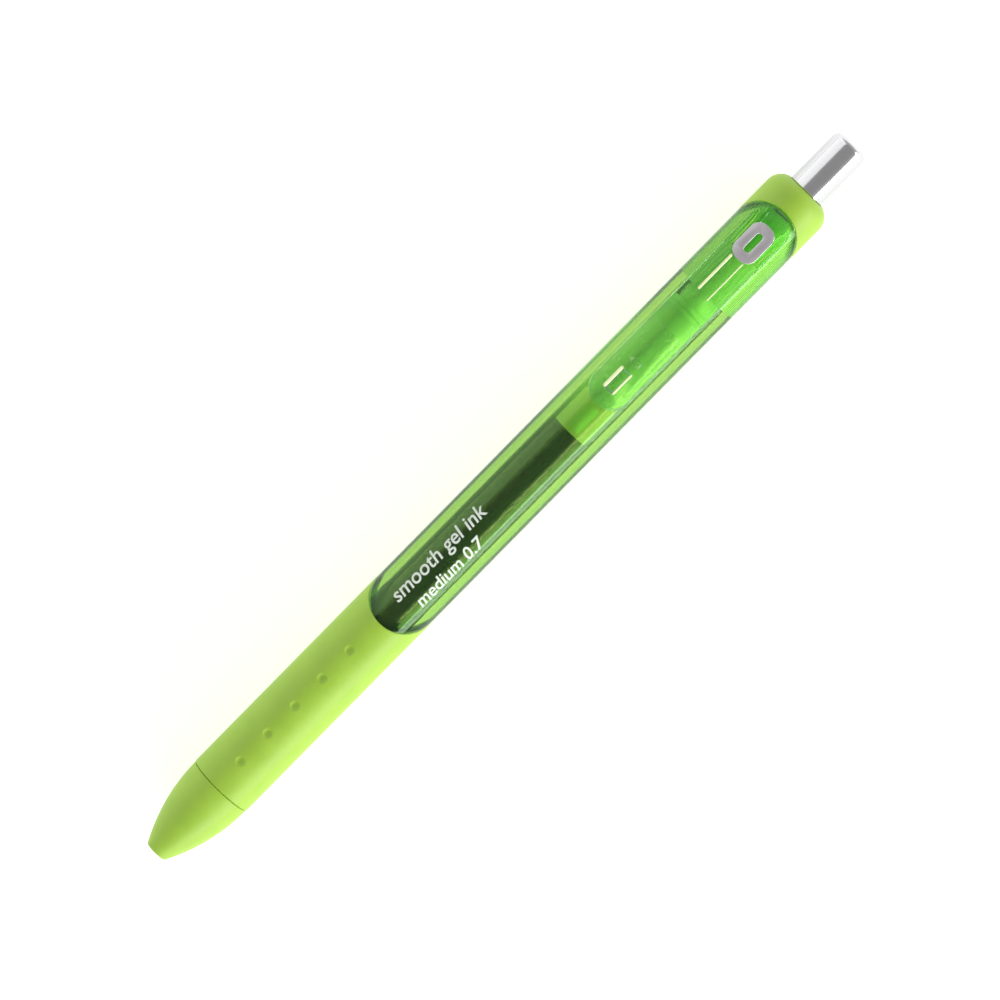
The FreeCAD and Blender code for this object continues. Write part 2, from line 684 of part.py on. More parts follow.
def clip_blank():
    """Arm and head before their details, with rounded ends, eased top edges and a sloping back."""
    side = side_prism([
        (CLIP_FRONT, TIP_TOP - CLIP_THICK),
        (CLIP_FRONT, TIP_TOP),
        (ROOT_FRONT, ROOT_TOP),
        (CLIP_REAR, ROOT_TOP),
        (CLIP_REAR, 0),
        (ROOT_FRONT, 0),
        (ROOT_FRONT, ROOT_TOP - CLIP_THICK),
    ], CLIP_WIDTH)
    plan = rounded_plate((CLIP_FRONT, CLIP_REAR), CLIP_WIDTH, CLIP_WIDTH / 2, (0, ROOT_TOP + 1))
    blank = side.common(plan).Solids[0]
    blank = blank.makeFillet(CLIP_EDGE, [e for e in blank.Edges if is_top_edge(e)])
    back = side_prism([
        (CLIP_REAR - CLIP_BACK, ROOT_TOP),
        (CLIP_REAR - CLIP_BACK, ROOT_TOP + 1),
        (CLIP_REAR + 1, ROOT_TOP + 1),
        (CLIP_REAR + 1, ROOT_TOP - CLIP_BACK_DROP * (1 + 1 / CLIP_BACK)),
    ], CLIP_WIDTH + 1)
    return blank.cut(back)


def is_top_edge(edge):
    """True for an edge of the clip's upper outline, but not for the crease across it."""
    middle = edge.valueAt((edge.FirstParameter + edge.LastParameter) / 2)
    crease = edge.BoundBox.XLength < 1e-6
    return not crease and abs(middle.z - clip_top(middle.x)) < 1e-3


def clip_top(station):
    """Height over the axis of the clip's upper face, up to its sloping back."""
    share = min(1, (station - CLIP_FRONT) / (ROOT_FRONT - CLIP_FRONT))
    return TIP_TOP + share * (ROOT_TOP - TIP_TOP)


def clip_nub():
    """Nub under the free end, with sloped sides and ends."""
    x0 = CLIP_FRONT + NUB_START
    x1 = x0 + NUB_LEN
    top = clip_top(x0) - CLIP_THICK / 2
    bottom = BODY_R + NUB_GAP
    lengthwise = side_prism([
        (x0, top), (x1, top), (x1 - NUB_SLOPE, bottom), (x0 + NUB_SLOPE, bottom),
    ], NUB_WIDTH)
    half = NUB_WIDTH / 2
    corners = [
        Vector(x0, -half, top), Vector(x0, half, top),
        Vector(x0, half - NUB_SLOPE, bottom), Vector(x0, -half + NUB_SLOPE, bottom),
    ]
    across = Part.Face(Part.makePolygon(corners + corners[:1])).extrude(Vector(NUB_LEN, 0, 0))
    return lengthwise.common(across)


def clip():
    """Sprung clip: arm, nub, head over the barrel and foot in it."""
    blank = clip_blank().cut(rod(CLIP_FRONT - 1, CLIP_REAR + 1, BODY_R + CLIP_SEAT_GAP))
    body = fused([blank, clip_nub(), foot_box(0)])
    floor = ROOT_TOP - GROOVE_DEPTH
    groove = box(
        (BADGE_FRONT - GROOVE_LEN, BADGE_FRONT + 1),
        (-GROOVE_WIDTH / 2, GROOVE_WIDTH / 2),
        (floor, ROOT_TOP + 1),
    )
    dent = rounded_plate(
        (CLIP_FRONT + NUB_START, CLIP_FRONT + NUB_START + NUB_LEN),
        NUB_WIDTH, NUB_WIDTH / 2, (clip_top(CLIP_FRONT + NUB_START) - GROOVE_DEPTH, ROOT_TOP + 1),
    )
    return body.cut(groove).cut(dent).cut(badge_block())


def badge_block():
    """Seat of the badge, without its slot."""
    bottom = ROOT_TOP - BADGE_THICK + BADGE_PROUD
    return rounded_plate((BADGE_FRONT, BADGE_REAR), BADGE_WIDTH, BADGE_CORNER, (bottom, ROOT_TOP + 1))


def clip_badge():
    """Plain metal plate let into the clip's head, with one slot."""
    top = ROOT_TOP + BADGE_PROUD
    plate = badge_block().cut(box(
        (BADGE_FRONT - 1, BADGE_REAR + 1), (-BADGE_WIDTH, BADGE_WIDTH), (top, top + 2),
    ))
    middle = (BADGE_FRONT + BADGE_REAR) / 2
    slot = rounded_plate(
        (middle - BADGE_SLOT_LEN / 2, middle + BADGE_SLOT_LEN / 2),
        BADGE_SLOT_WIDTH, BADGE_SLOT_WIDTH / 2, (0, top + 2),
    )
    return plate.cut(slot)


# ---- export ----------------------------------------------------------------------------------

NODES = {
    "nose_skin": nose_skin,
    "nose_core": nose_core,
    "barrel": barrel,
    "grip_sleeve": grip_sleeve,
    "cam_sleeve": cam_sleeve,
    "plunger": plunger,
    "button_cap": button_cap,
    "rotor": rotor,
    "refill_tube": refill_tube,
    "tip_holder": tip_holder,
    "metal_point": metal_point,
    "writing_ball": writing_ball,
    "tip_spring": tip_spring,
    "ink_column": ink_column,
    "ink_follower": ink_follower,
    "follower_float": follower_float,
    "end_plug": end_plug,
    "return_spring": return_spring,
    "clip": clip,
    "clip_badge": clip_badge,
}

os.makedirs("parts", exist_ok=True)
for name, build in NODES.items():
    solid = place(build())
    if not solid.isValid() or len(solid.Solids) != 1:
        raise ValueError(f"{name}: {len(solid.Solids)} solids, valid {solid.isValid()}")
    solid.exportStep(os.path.join("parts", name + ".step"))
    print(f"{name:14s} volume {solid.Volume:9.2f} mm3")
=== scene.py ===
"""Looks of a retractable gel pen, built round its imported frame.

The pen lies along X with its nose towards -X and its clip on top. Every length is in metres.
Places come from the frame's boxes; the sizes that only the looks need are fields of each class.
"""

from __future__ import annotations

import logging
import math
from dataclasses import dataclass, field
from enum import Enum
from typing import Iterable, Sequence

import bmesh
import bpy
import numpy as np
from mathutils import Matrix, Vector


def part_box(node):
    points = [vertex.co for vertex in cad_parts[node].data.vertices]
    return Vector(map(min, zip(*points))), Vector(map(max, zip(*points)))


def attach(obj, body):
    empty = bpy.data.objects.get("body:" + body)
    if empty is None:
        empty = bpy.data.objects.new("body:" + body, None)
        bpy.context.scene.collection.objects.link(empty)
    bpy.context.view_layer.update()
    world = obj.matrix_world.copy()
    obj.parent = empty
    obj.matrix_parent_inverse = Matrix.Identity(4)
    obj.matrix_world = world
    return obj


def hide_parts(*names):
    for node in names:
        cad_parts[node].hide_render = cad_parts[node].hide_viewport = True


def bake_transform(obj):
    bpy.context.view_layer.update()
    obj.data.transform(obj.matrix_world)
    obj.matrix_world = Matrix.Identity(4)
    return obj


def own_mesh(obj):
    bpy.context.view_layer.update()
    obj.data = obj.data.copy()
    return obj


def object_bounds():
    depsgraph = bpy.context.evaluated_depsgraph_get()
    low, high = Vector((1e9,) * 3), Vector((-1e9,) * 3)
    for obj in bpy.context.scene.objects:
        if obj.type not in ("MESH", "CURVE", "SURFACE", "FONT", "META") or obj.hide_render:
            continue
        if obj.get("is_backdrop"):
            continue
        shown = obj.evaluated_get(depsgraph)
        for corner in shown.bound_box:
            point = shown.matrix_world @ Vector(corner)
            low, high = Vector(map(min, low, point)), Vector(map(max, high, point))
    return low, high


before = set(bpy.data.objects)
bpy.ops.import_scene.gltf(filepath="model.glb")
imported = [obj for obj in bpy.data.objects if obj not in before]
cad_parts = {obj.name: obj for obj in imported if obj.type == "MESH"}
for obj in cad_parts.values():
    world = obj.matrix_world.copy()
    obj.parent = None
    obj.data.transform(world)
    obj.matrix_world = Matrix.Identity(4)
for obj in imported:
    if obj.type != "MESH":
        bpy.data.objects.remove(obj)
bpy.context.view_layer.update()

LOG = logging.getLogger("gel_pen")
MM = 0.001
TURN = 2 * math.pi
WELD = 0.0004 * MM
SLIVER = 0.0002 * MM
EASED = 0.05 * MM
SAME = 1e-9

Point = tuple[float, float]
Corner = tuple[float, float, float]


# ---- shader writing ----------------------------------------------------------------------------

class Signal:
    """A number on a node socket that Python's operators can work with."""

    def __init__(self, graph: Graph, socket: bpy.types.NodeSocket) -> None:
        """Wraps an output socket.

        Args:
            graph: the material being written.
            socket: an output that gives one number per point.
        """
        self.graph = graph
        self.socket = socket

    def _math(self, operation: str, *values: Signal | float) -> Signal:
        """Result of a Math node.

        Args:
            operation: the node's operation.
            values: its inputs in order.

        Returns:
            The node's output.
        """
        made = self.graph.node("ShaderNodeMath", {"operation": operation}, dict(enumerate(values)))
        return Signal(self.graph, made.outputs[0])

    def __add__(self, other: Signal | float) -> Signal:
        """Sum."""
        return self._math("ADD", self, other)

    __radd__ = __add__

    def __mul__(self, other: Signal | float) -> Signal:
        """Product."""
        return self._math("MULTIPLY", self, other)

    __rmul__ = __mul__

    def step(self, edge: float, softness: float) -> Signal:
        """0 below an edge and 1 above it.

        Args:
            edge: value where the step is half done.
            softness: half the width of the ramp.

        Returns:
            The smooth step.
        """
        settings = {"interpolation_type": "SMOOTHSTEP"}
        links = {"Value": self, "From Min": edge - softness, "From Max": edge + softness}
        return Signal(self.graph, self.graph.node("ShaderNodeMapRange", settings, links).outputs[0])


class Graph:
    """A material's nodes while they are being written."""

    def __init__(self, name: str) -> None:
        """Starts an empty material.

        Args:
            name: the material's name.
        """
        self.material = bpy.data.materials.new(name)
        self.material.use_nodes = True
        self.tree = self.material.node_tree
        self.tree.nodes.clear()
        self.place = self.node("ShaderNodeTexCoord").outputs["Object"]

    def node(
        self,
        kind: str,
        settings: dict[str, object] | None = None,
        inputs: dict[str | int, object] | None = None,
    ) -> bpy.types.Node:
        """Adds a node.

        Args:
            kind: the node's type.
            settings: its properties, set before its sockets.
            inputs: values or links by socket name or number.

        Returns:
            The new node.
        """
        made = self.tree.nodes.new(kind)
        for key, value in (settings or {}).items():
            setattr(made, key, value)
        for key, value in (inputs or {}).items():
            value = value.socket if isinstance(value, Signal) else value
            if isinstance(value, bpy.types.NodeSocket):
                self.tree.links.new(value, made.inputs[key])
            else:
                made.inputs[key].default_value = value
        return made

    def stretched(self, scale: Sequence[float]) -> bpy.types.NodeSocket:
        """The object's coordinates, scaled along each axis.

        Args:
            scale: factor along X, Y and Z.

        Returns:
            The scaled coordinates.
        """
        links = {"Vector": self.place, "Scale": scale}
        return self.node("ShaderNodeMapping", None, links).outputs[0]

    def along(self, axis: str) -> Signal:
        """One coordinate in metres.

        Args:
            axis: X, Y or Z.

        Returns:
            The coordinate.
        """
        return Signal(self, self.node("ShaderNodeSeparateXYZ", None, {0: self.place}).outputs[axis])

    def noise(
        self,
        per_metre: float,
        detail: float = 3.0,
        scale: Sequence[float] | None = None,
    ) -> Signal:
        """Smooth noise about 0.5.

        Args:
            per_metre: how many cells lie in a metre.
            detail: octaves.
            scale: optional stretch of the coordinates.

        Returns:
            The noise.
        """
        where = self.stretched(scale) if scale else self.place
        links = {"Vector": where, "Scale": per_metre, "Detail": detail}
        return Signal(self, self.node("ShaderNodeTexNoise", None, links).outputs[0])

    def cells(self, per_metre: float) -> Signal:
        """Distance to the nearest of many scattered points.

        Args:
            per_metre: how many points lie along a metre.

        Returns:
            The distance as a share of the spacing.
        """
        links = {"Vector": self.place, "Scale": per_metre}
        return Signal(self, self.node("ShaderNodeTexVoronoi", None, links).outputs["Distance"])

    def blend(
        self,
        share: Signal,
        low: Sequence[float],
        high: Sequence[float],
    ) -> bpy.types.NodeSocket:
        """A colour between two.

        Args:
            share: 0 for the first, 1 for the second.
            low: first colour, linear RGB.
            high: second colour, linear RGB.

        Returns:
            The colour socket.
        """
        links = {"Factor": share, 6: (*low, 1.0), 7: (*high, 1.0)}
        return self.node("ShaderNodeMix", {"data_type": "RGBA"}, links).outputs[2]

    def bump(self, height: Signal, depth: float) -> bpy.types.NodeSocket:
        """A normal from a height.

        Args:
            height: 0 to 1.
            depth: what 1 stands for, in metres.

        Returns:
            The normal socket.
        """
        return self.node("ShaderNodeBump", None, {"Height": height, "Distance": depth}).outputs[0]

    def finish(self, inputs: dict[str, object]) -> bpy.types.Material:
        """Closes the material with one shader.

        Args:
            inputs: the shader's values or links.

        Returns:
            The material.
        """
        shader = self.node("ShaderNodeBsdfPrincipled", None, inputs)
        self.node("ShaderNodeOutputMaterial", None, {"Surface": shader.outputs[0]})
        return self.material

    def finish_clear(self, inputs: dict[str, object], volume: bpy.types.Node) -> bpy.types.Material:
        """Closes a clear material that lamps shine straight through.

        Args:
            inputs: the shader's values or links.
            volume: what fills the solid.

        Returns:
            The material.
        """
        shader = self.node("ShaderNodeBsdfPrincipled", None, inputs)
        through = self.node("ShaderNodeBsdfTransparent")
        lamp = self.node("ShaderNodeLightPath").outputs["Is Shadow Ray"]
        either = {0: lamp, 1: shader.outputs[0], 2: through.outputs[0]}
        mixed = self.node("ShaderNodeMixShader", None, either)
        ends = {"Surface": mixed.outputs[0], "Volume": volume.outputs[0]}
        self.node("ShaderNodeOutputMaterial", None, ends)
        return self.material


# ---- finishes ----------------------------------------------------------------------------------

@dataclass(frozen=True)
class SoftRubber:
    """Soft-touch moulded rubber with a satin skin."""

    name: str = "soft_rubber"
    colour: tuple[float, float, float] = (0.32, 0.535, 0.044)
    pale: tuple[float, float, float] = (0.37, 0.60, 0.055)
    grain_depth: float = 0.006 * MM

    def material(self) -> bpy.types.Material:
        """Makes the finish."""
        g = Graph(self.name)
        cloud = g.noise(per_metre=260, detail=2.0)
        grain = g.noise(per_metre=9000, detail=2.0)
        pits = g.cells(per_metre=5200)
        return g.finish({
            "Base Color": g.blend(cloud.step(0.5, 0.3) * 0.6 + grain * 0.4, self.colour, self.pale),
            "Roughness": 0.40 + 0.16 * cloud,
            "Normal": g.bump(grain * 0.7 + pits * 0.3, self.grain_depth),
            "Specular IOR Level": 0.5,
        })


@dataclass(frozen=True)
class TintedPlastic:
    """Polished plastic that is clear or tinted through its thickness."""

    name: str
    tint: tuple[float, float, float]
    density: float
    gloss: float = 0.03
    index: float = 1.49
    ripple: float = 0.002 * MM
    cloudy: float = 0.0
    skin: tuple[float, float, float] = (1.0, 1.0, 1.0)
    shine: tuple[float, float, float] = (1.0, 1.0, 1.0)

    def material(self) -> bpy.types.Material:
        """Makes the finish."""
        g = Graph(self.name)
        flow = g.noise(per_metre=420, detail=2.0, scale=(0.25, 1.0, 1.0))
        scuff = g.noise(per_metre=2600, detail=4.0, scale=(0.3, 1.0, 1.0))
        soaking = {"Color": (*self.tint, 1.0), "Density": self.density}
        body = g.node("ShaderNodeVolumeAbsorption", None, soaking)
        return g.finish_clear({
            "Base Color": g.blend(scuff, self.skin, tuple(0.97 * c for c in self.skin)),
            "Roughness": self.gloss + 0.05 * scuff.step(0.62, 0.1),
            "Normal": g.bump(flow, self.ripple),
            "IOR": self.index,
            "Specular Tint": (*self.shine, 1.0),
            "Transmission Weight": 1.0 - self.cloudy,
        }, body)


@dataclass(frozen=True)
class MouldedPlastic:
    """Opaque moulded plastic with a fine spark-eroded skin."""

    name: str
    colour: tuple[float, float, float]
    pale: tuple[float, float, float]
    gloss: float = 0.38
    grain_depth: float = 0.003 * MM

    def material(self) -> bpy.types.Material:
        """Makes the finish."""
        g = Graph(self.name)
        cloud = g.noise(per_metre=500, detail=3.0)
        grain = g.noise(per_metre=12000, detail=2.0)
        return g.finish({
            "Base Color": g.blend(cloud, self.colour, self.pale),
            "Roughness": self.gloss + 0.12 * grain,
            "Normal": g.bump(grain, self.grain_depth),
        })


class Grain(Enum):
    """How a metal's surface was worked."""

    TURNED = "turned"
    BLASTED = "blasted"
    DRAWN = "drawn"


@dataclass(frozen=True)
class Metal:
    """Bare or plated metal."""

    name: str
    colour: tuple[float, float, float]
    dark: tuple[float, float, float]
    gloss: float
    grain: Grain

    def height(self, g: Graph) -> tuple[Signal, float]:
        """Surface height of the grain.

        Args:
            g: the material being written.

        Returns:
            The height from 0 to 1, and its depth in metres.
        """
        if self.grain is Grain.TURNED:
            return g.noise(per_metre=1000, detail=3.0, scale=(14.0, 0.4, 0.4)), 0.0015 * MM
        if self.grain is Grain.BLASTED:
            pits, dust = g.cells(per_metre=9500), g.noise(per_metre=14000, detail=2.0)
            return pits * 0.6 + dust * 0.4, 0.02 * MM
        return g.noise(per_metre=1000, detail=2.0, scale=(0.8, 6.0, 6.0)), 0.002 * MM

    def material(self) -> bpy.types.Material:
        """Makes the finish."""
        g = Graph(self.name)
        height, depth = self.height(g)
        smudge = g.noise(per_metre=300, detail=3.0)
        return g.finish({
            "Base Color": g.blend(height * 0.7 + smudge * 0.3, self.dark, self.colour),
            "Metallic": 1.0,
            "Roughness": self.gloss + 0.08 * smudge + 0.06 * height,
            "Normal": g.bump(height, depth),
        })


@dataclass(frozen=True)
class InkFinish:
    """Wet ink, or the dry print made with it."""

    name: str
    colour: tuple[float, float, float]
    pale: tuple[float, float, float]
    gloss: float
    swirl_depth: float = 0.001 * MM

    def material(self) -> bpy.types.Material:
        """Makes the finish."""
        g = Graph(self.name)
        swirl = g.noise(per_metre=700, detail=4.0, scale=(0.3, 1.0, 1.0))
        return g.finish({
            "Base Color": g.blend(swirl.step(0.5, 0.25), self.colour, self.pale),
            "Roughness": self.gloss + 0.1 * swirl,
            "Normal": g.bump(swirl, self.swirl_depth),
        })


@dataclass(frozen=True)
class Paper:
    """Pale matt surface that the pen lies on."""

    name: str = "pale_floor"
    glow: float = 0.46

    def material(self) -> bpy.types.Material:
        """Makes the finish."""
        g = Graph(self.name)
        mottle = g.noise(per_metre=60, detail=3.0)
        return g.finish({
            "Base Color": g.blend(mottle, (0.93, 0.93, 0.93), (0.96, 0.96, 0.96)),
            "Roughness": 0.85 + 0.1 * mottle,
            "Specular IOR Level": 0.1,
            "Emission Color": (1.0, 1.0, 1.0, 1.0),
            "Emission Strength": self.glow,
        })


def finish_field(kind: type, *given: object, **named: object) -> bpy.types.Material:
    """A dataclass field that makes its material when the dataclass is made.

    Args:
        kind: the finish's class.
        given: its values in order.
        named: its values by name.

    Returns:
        The field.
    """
    return field(default_factory=lambda: kind(*given, **named).material())


@dataclass
class Finishes:
    """The pen's finishes, each made once."""

    rubber: bpy.types.Material = finish_field(SoftRubber)
    barrel: bpy.types.Material = finish_field(
        TintedPlastic, "tinted_barrel", (0.56, 0.81, 0.10), 700.0,
        index=1.59, shine=(0.62, 1.0, 0.56))
    clip: bpy.types.Material = finish_field(
        TintedPlastic, "tinted_clip", (0.30, 0.88, 0.25), 200.0)
    tube: bpy.types.Material = finish_field(
        TintedPlastic, "clear_tube", (0.9, 0.99, 0.87), 60.0, gloss=0.05)
    grease: bpy.types.Material = finish_field(
        TintedPlastic, "clear_grease", (0.8, 0.97, 0.6), 60.0,
        gloss=0.1, index=1.46, cloudy=0.35, skin=(0.80, 0.95, 0.42))
    film: bpy.types.Material = finish_field(
        TintedPlastic, "grease_film", (0.8, 0.97, 0.6), 60.0,
        gloss=0.25, index=1.46, cloudy=0.6, skin=(0.46, 0.76, 0.42))
    # Pale cloudy finish of the clip's ridges: painted highlight lines along the nub's sides and the
    # groove's edges.
    highlight_glaze: bpy.types.Material = finish_field(
        TintedPlastic, "painted_highlight_edge", (0.8, 0.97, 0.5), 60.0,
        gloss=0.1, ripple=0.001 * MM, cloudy=0.85, skin=(0.93, 0.98, 0.62))
    white: bpy.types.Material = finish_field(
        MouldedPlastic, "white_plastic", (0.78, 0.79, 0.78), (0.86, 0.87, 0.86))
    green: bpy.types.Material = finish_field(
        MouldedPlastic, "green_plastic", (0.07, 0.42, 0.16), (0.09, 0.48, 0.19))
    lime: bpy.types.Material = finish_field(
        MouldedPlastic, "lime_plastic", (0.38, 0.76, 0.31), (0.44, 0.83, 0.36))
    button: bpy.types.Material = finish_field(
        Metal, "satin_chrome", (0.74, 0.74, 0.75), (0.65, 0.65, 0.66), 0.10, Grain.TURNED)
    badge: bpy.types.Material = finish_field(
        Metal, "blasted_badge", (0.92, 0.88, 0.90), (0.56, 0.52, 0.55), 0.34, Grain.BLASTED)
    point: bpy.types.Material = finish_field(
        Metal, "turned_point", (0.80, 0.79, 0.77), (0.62, 0.61, 0.60), 0.16, Grain.TURNED)
    wire: bpy.types.Material = finish_field(
        Metal, "drawn_wire", (0.70, 0.71, 0.73), (0.50, 0.51, 0.53), 0.2, Grain.DRAWN)
    carbide: bpy.types.Material = finish_field(
        Metal, "carbide", (0.42, 0.42, 0.45), (0.32, 0.32, 0.34), 0.08, Grain.BLASTED)
    ink: bpy.types.Material = finish_field(
        InkFinish, "dark_green_ink", (0.004, 0.016, 0.008), (0.008, 0.03, 0.013), 0.12)
    print_ink: bpy.types.Material = finish_field(
        InkFinish, "print_ink", (0.72, 0.80, 0.70), (0.84, 0.90, 0.82), 0.45)


# ---- mesh making -------------------------------------------------------------------------------

def mesh_object(
    name: str,
    verts: Sequence[Sequence[float]],
    faces: Iterable[Sequence[int]],
    material: bpy.types.Material,
    sharp: float = 35.0,
) -> bpy.types.Object:
    """Makes a closed, outward-facing, smooth piece at the origin.

    Args:
        name: the piece's name.
        verts: its points.
        faces: corner numbers of each face.
        material: its finish.
        sharp: edges that turn by more degrees than this stay sharp.

    Returns:
        The new object.
    """
    mesh = bpy.data.meshes.new(name)
    mesh.from_pydata([tuple(v) for v in verts], [], [tuple(f) for f in faces])
    work = bmesh.new()
    work.from_mesh(mesh)
    bmesh.ops.remove_doubles(work, verts=work.verts, dist=WELD)
    bmesh.ops.dissolve_degenerate(work, edges=work.edges, dist=SLIVER)
    bmesh.ops.recalc_face_normals(work, faces=work.faces)
    work.to_mesh(mesh)
    work.free()
    return smooth_object(name, mesh, material, sharp)


def smooth_object(
    name: str,
    mesh: bpy.types.Mesh,
    material: bpy.types.Material,
    sharp: float,
) -> bpy.types.Object:
    """Puts a finished mesh in the scene with smooth shading.

    Args:
        name: the piece's name.
        mesh: its mesh.
        material: its finish.
        sharp: edges that turn by more degrees than this stay sharp.

    Returns:
        The new object.
    """
    mesh.shade_smooth()
    mesh.set_sharp_from_angle(angle=math.radians(sharp))
    mesh.materials.clear()
    mesh.materials.append(material)
    made = bpy.data.objects.new(name, mesh)
    bpy.context.scene.collection.objects.link(made)
    return made


def fillet(before: Point, corner: Point, after: Point, radius: float, steps: int) -> list[Point]:
    """Rounds one corner of an outline.

    Args:
        before: the point before the corner.
        corner: the corner.
        after: the point after it.
        radius: the arc's radius, which is cut down where a side is too short.
        steps: how many pieces the arc has.

    Returns:
        The points of the arc.
    """
    a = Vector(before) - Vector(corner)
    b = Vector(after) - Vector(corner)
    half = a.angle(b) / 2
    reach = min(radius / math.tan(half), 0.49 * a.length, 0.49 * b.length)
    radius = reach * math.tan(half)
    middle = (a.normalized() + b.normalized()).normalized()
    centre = Vector(corner) + middle * (radius / math.sin(half))
    start = Vector(corner) + a.normalized() * reach - centre
    end = Vector(corner) + b.normalized() * reach - centre
    sweep = start.angle_signed(end)
    return [
        tuple(centre + Matrix.Rotation(-sweep * i / steps, 2) @ start)
        for i in range(steps + 1)
    ]


def outline(corners: Sequence[Corner], steps: int = 5) -> list[Point]:
    """Closed outline with rounded corners.

    Args:
        corners: (x, radius from the axis, rounding) of each corner in order.
        steps: pieces in each rounded corner.

    Returns:
        The outline's points.
    """
    points: list[Point] = []
    count = len(corners)
    for i, (x, r, rounding) in enumerate(corners):
        if rounding <= 0 or r <= 0:
            points.append((x, r))
            continue
        before = corners[i - 1][:2]
        after = corners[(i + 1) % count][:2]
        points += fillet(before, (x, r), after, rounding, steps)
    return points


def lathe(
    name: str,
    points: Sequence[Point],
    material: bpy.types.Material,
    sides: int = 96,
    sharp: float = 35.0,
) -> bpy.types.Object:
    """Turns a closed outline about the pen's axis.

    Args:
        name: the piece's name.
        points: (x, radius) of the outline; two points on the axis close a solid piece.
        material: its finish.
        sides: steps round the axis.
        sharp: edges that turn by more degrees than this stay sharp.

    Returns:
        The new object.
    """
    rings = [ring_points(x, r, sides) for x, r in points]
    verts = [p for r in rings for p in r]
    faces = []
    for i in range(len(rings)):
        k = (i + 1) % len(rings)
        if points[i][1] < SAME and points[k][1] < SAME:
            continue
        faces += strip(i * sides, k * sides, sides, True)
    return mesh_object(name, verts, faces, material, sharp)


def ring_points(x: float, radius: float, sides: int) -> list[tuple[float, float, float]]:
    """Points round the pen's axis.

    Args:
        x: their place along the pen.
        radius: their distance from the axis.
        sides: how many.

    Returns:
        The points, from the top towards +Y.
    """
    return [on_axis(x, radius, TURN * i / sides) for i in range(sides)]


def on_axis(x: float, radius: float, angle: float) -> tuple[float, float, float]:
    """A point by its distance from the pen's axis and its angle from the top towards +Y."""
    return x, radius * math.sin(angle), AXIS_Z + radius * math.cos(angle)


def plain_corners(span: Span, bore: float, ease: float) -> list[Corner]:
    """Corners of a plain tube, or of a rod, with eased ends.

    Args:
        span: its reach.
        bore: radius of its bore, 0 for a rod.
        ease: rounding of its edges.

    Returns:
        The corners.
    """
    low = [(span.start, bore, ease), (span.start, span.radius, ease)]
    return low + [(span.end, span.radius, ease), (span.end, bore, ease)]


def strip(first: int, second: int, count: int, closed: bool) -> list[tuple[int, int, int, int]]:
    """Faces between two rows of points.

    Args:
        first: number of the first row's first point.
        second: number of the second row's first point.
        count: points in a row.
        closed: whether the rows run all the way round.

    Returns:
        The faces.
    """
    last = count if closed else count - 1
    return [
        (first + i, first + (i + 1) % count, second + (i + 1) % count, second + i)
        for i in range(last)
    ]


def polished(name: str, node: str, material: bpy.types.Material, edge: float) -> bpy.types.Object:
    """Copies a CAD node as a welded mesh with eased edges.

    Args:
        name: the piece's name.
        node: the CAD node.
        material: the piece's finish.
        edge: width of the eased edges.

    Returns:
        The new object, which stands for the node.
    """
    work = bmesh.new()
    work.from_mesh(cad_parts[node].data)
    bmesh.ops.remove_doubles(work, verts=work.verts, dist=WELD)
    flat = math.radians(0.4)
    bmesh.ops.dissolve_limit(work, angle_limit=flat, verts=work.verts, edges=work.edges)
    turn = math.radians(38)
    sharp = [e for e in work.edges if len(e.link_faces) == 2 and e.calc_face_angle(0.0) > turn]
    bmesh.ops.bevel(
        work, geom=sharp, offset=edge, offset_type="OFFSET", segments=2, profile=0.5,
        affect="EDGES", clamp_overlap=True,
    )
    bmesh.ops.remove_doubles(work, verts=work.verts, dist=WELD)
    bmesh.ops.dissolve_degenerate(work, edges=work.edges, dist=SLIVER)
    mesh = bpy.data.meshes.new(name)
    work.to_mesh(mesh)
    work.free()
    made = smooth_object(name, mesh, material, 35.0)
    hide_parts(node)
    return made


@dataclass(frozen=True)
class Span:
    """A CAD node's reach along the pen and across it."""

    start: float
    end: float
    radius: float

    @classmethod
    def of(cls, node: str) -> Span:
        """Reads a node's box.

        Args:
            node: the CAD node.

        Returns:
            Its two ends along X and half its width.
        """
        low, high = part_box(node)
        return cls(low.x, high.x, (high.y - low.y) / 2)


AXIS_Z = (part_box("grip_sleeve")[0].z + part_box("grip_sleeve")[1].z) / 2


def keep(piece: bpy.types.Object, body: str, slot: str, *nodes: str) -> bpy.types.Object:
    """Puts a piece on its body, in place of CAD nodes.

    Args:
        piece: the finished piece.
        body: the CAD body that it rides on.
        slot: not used.
        nodes: the CAD nodes that it stands for.

    Returns:
        The piece.
    """
    if nodes:
        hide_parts(*nodes)
    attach(piece, body)
    LOG.info("%s on %s: %d faces", piece.name, body, len(piece.data.polygons))
    return piece


# ---- coils -------------------------------------------------------------------------------------

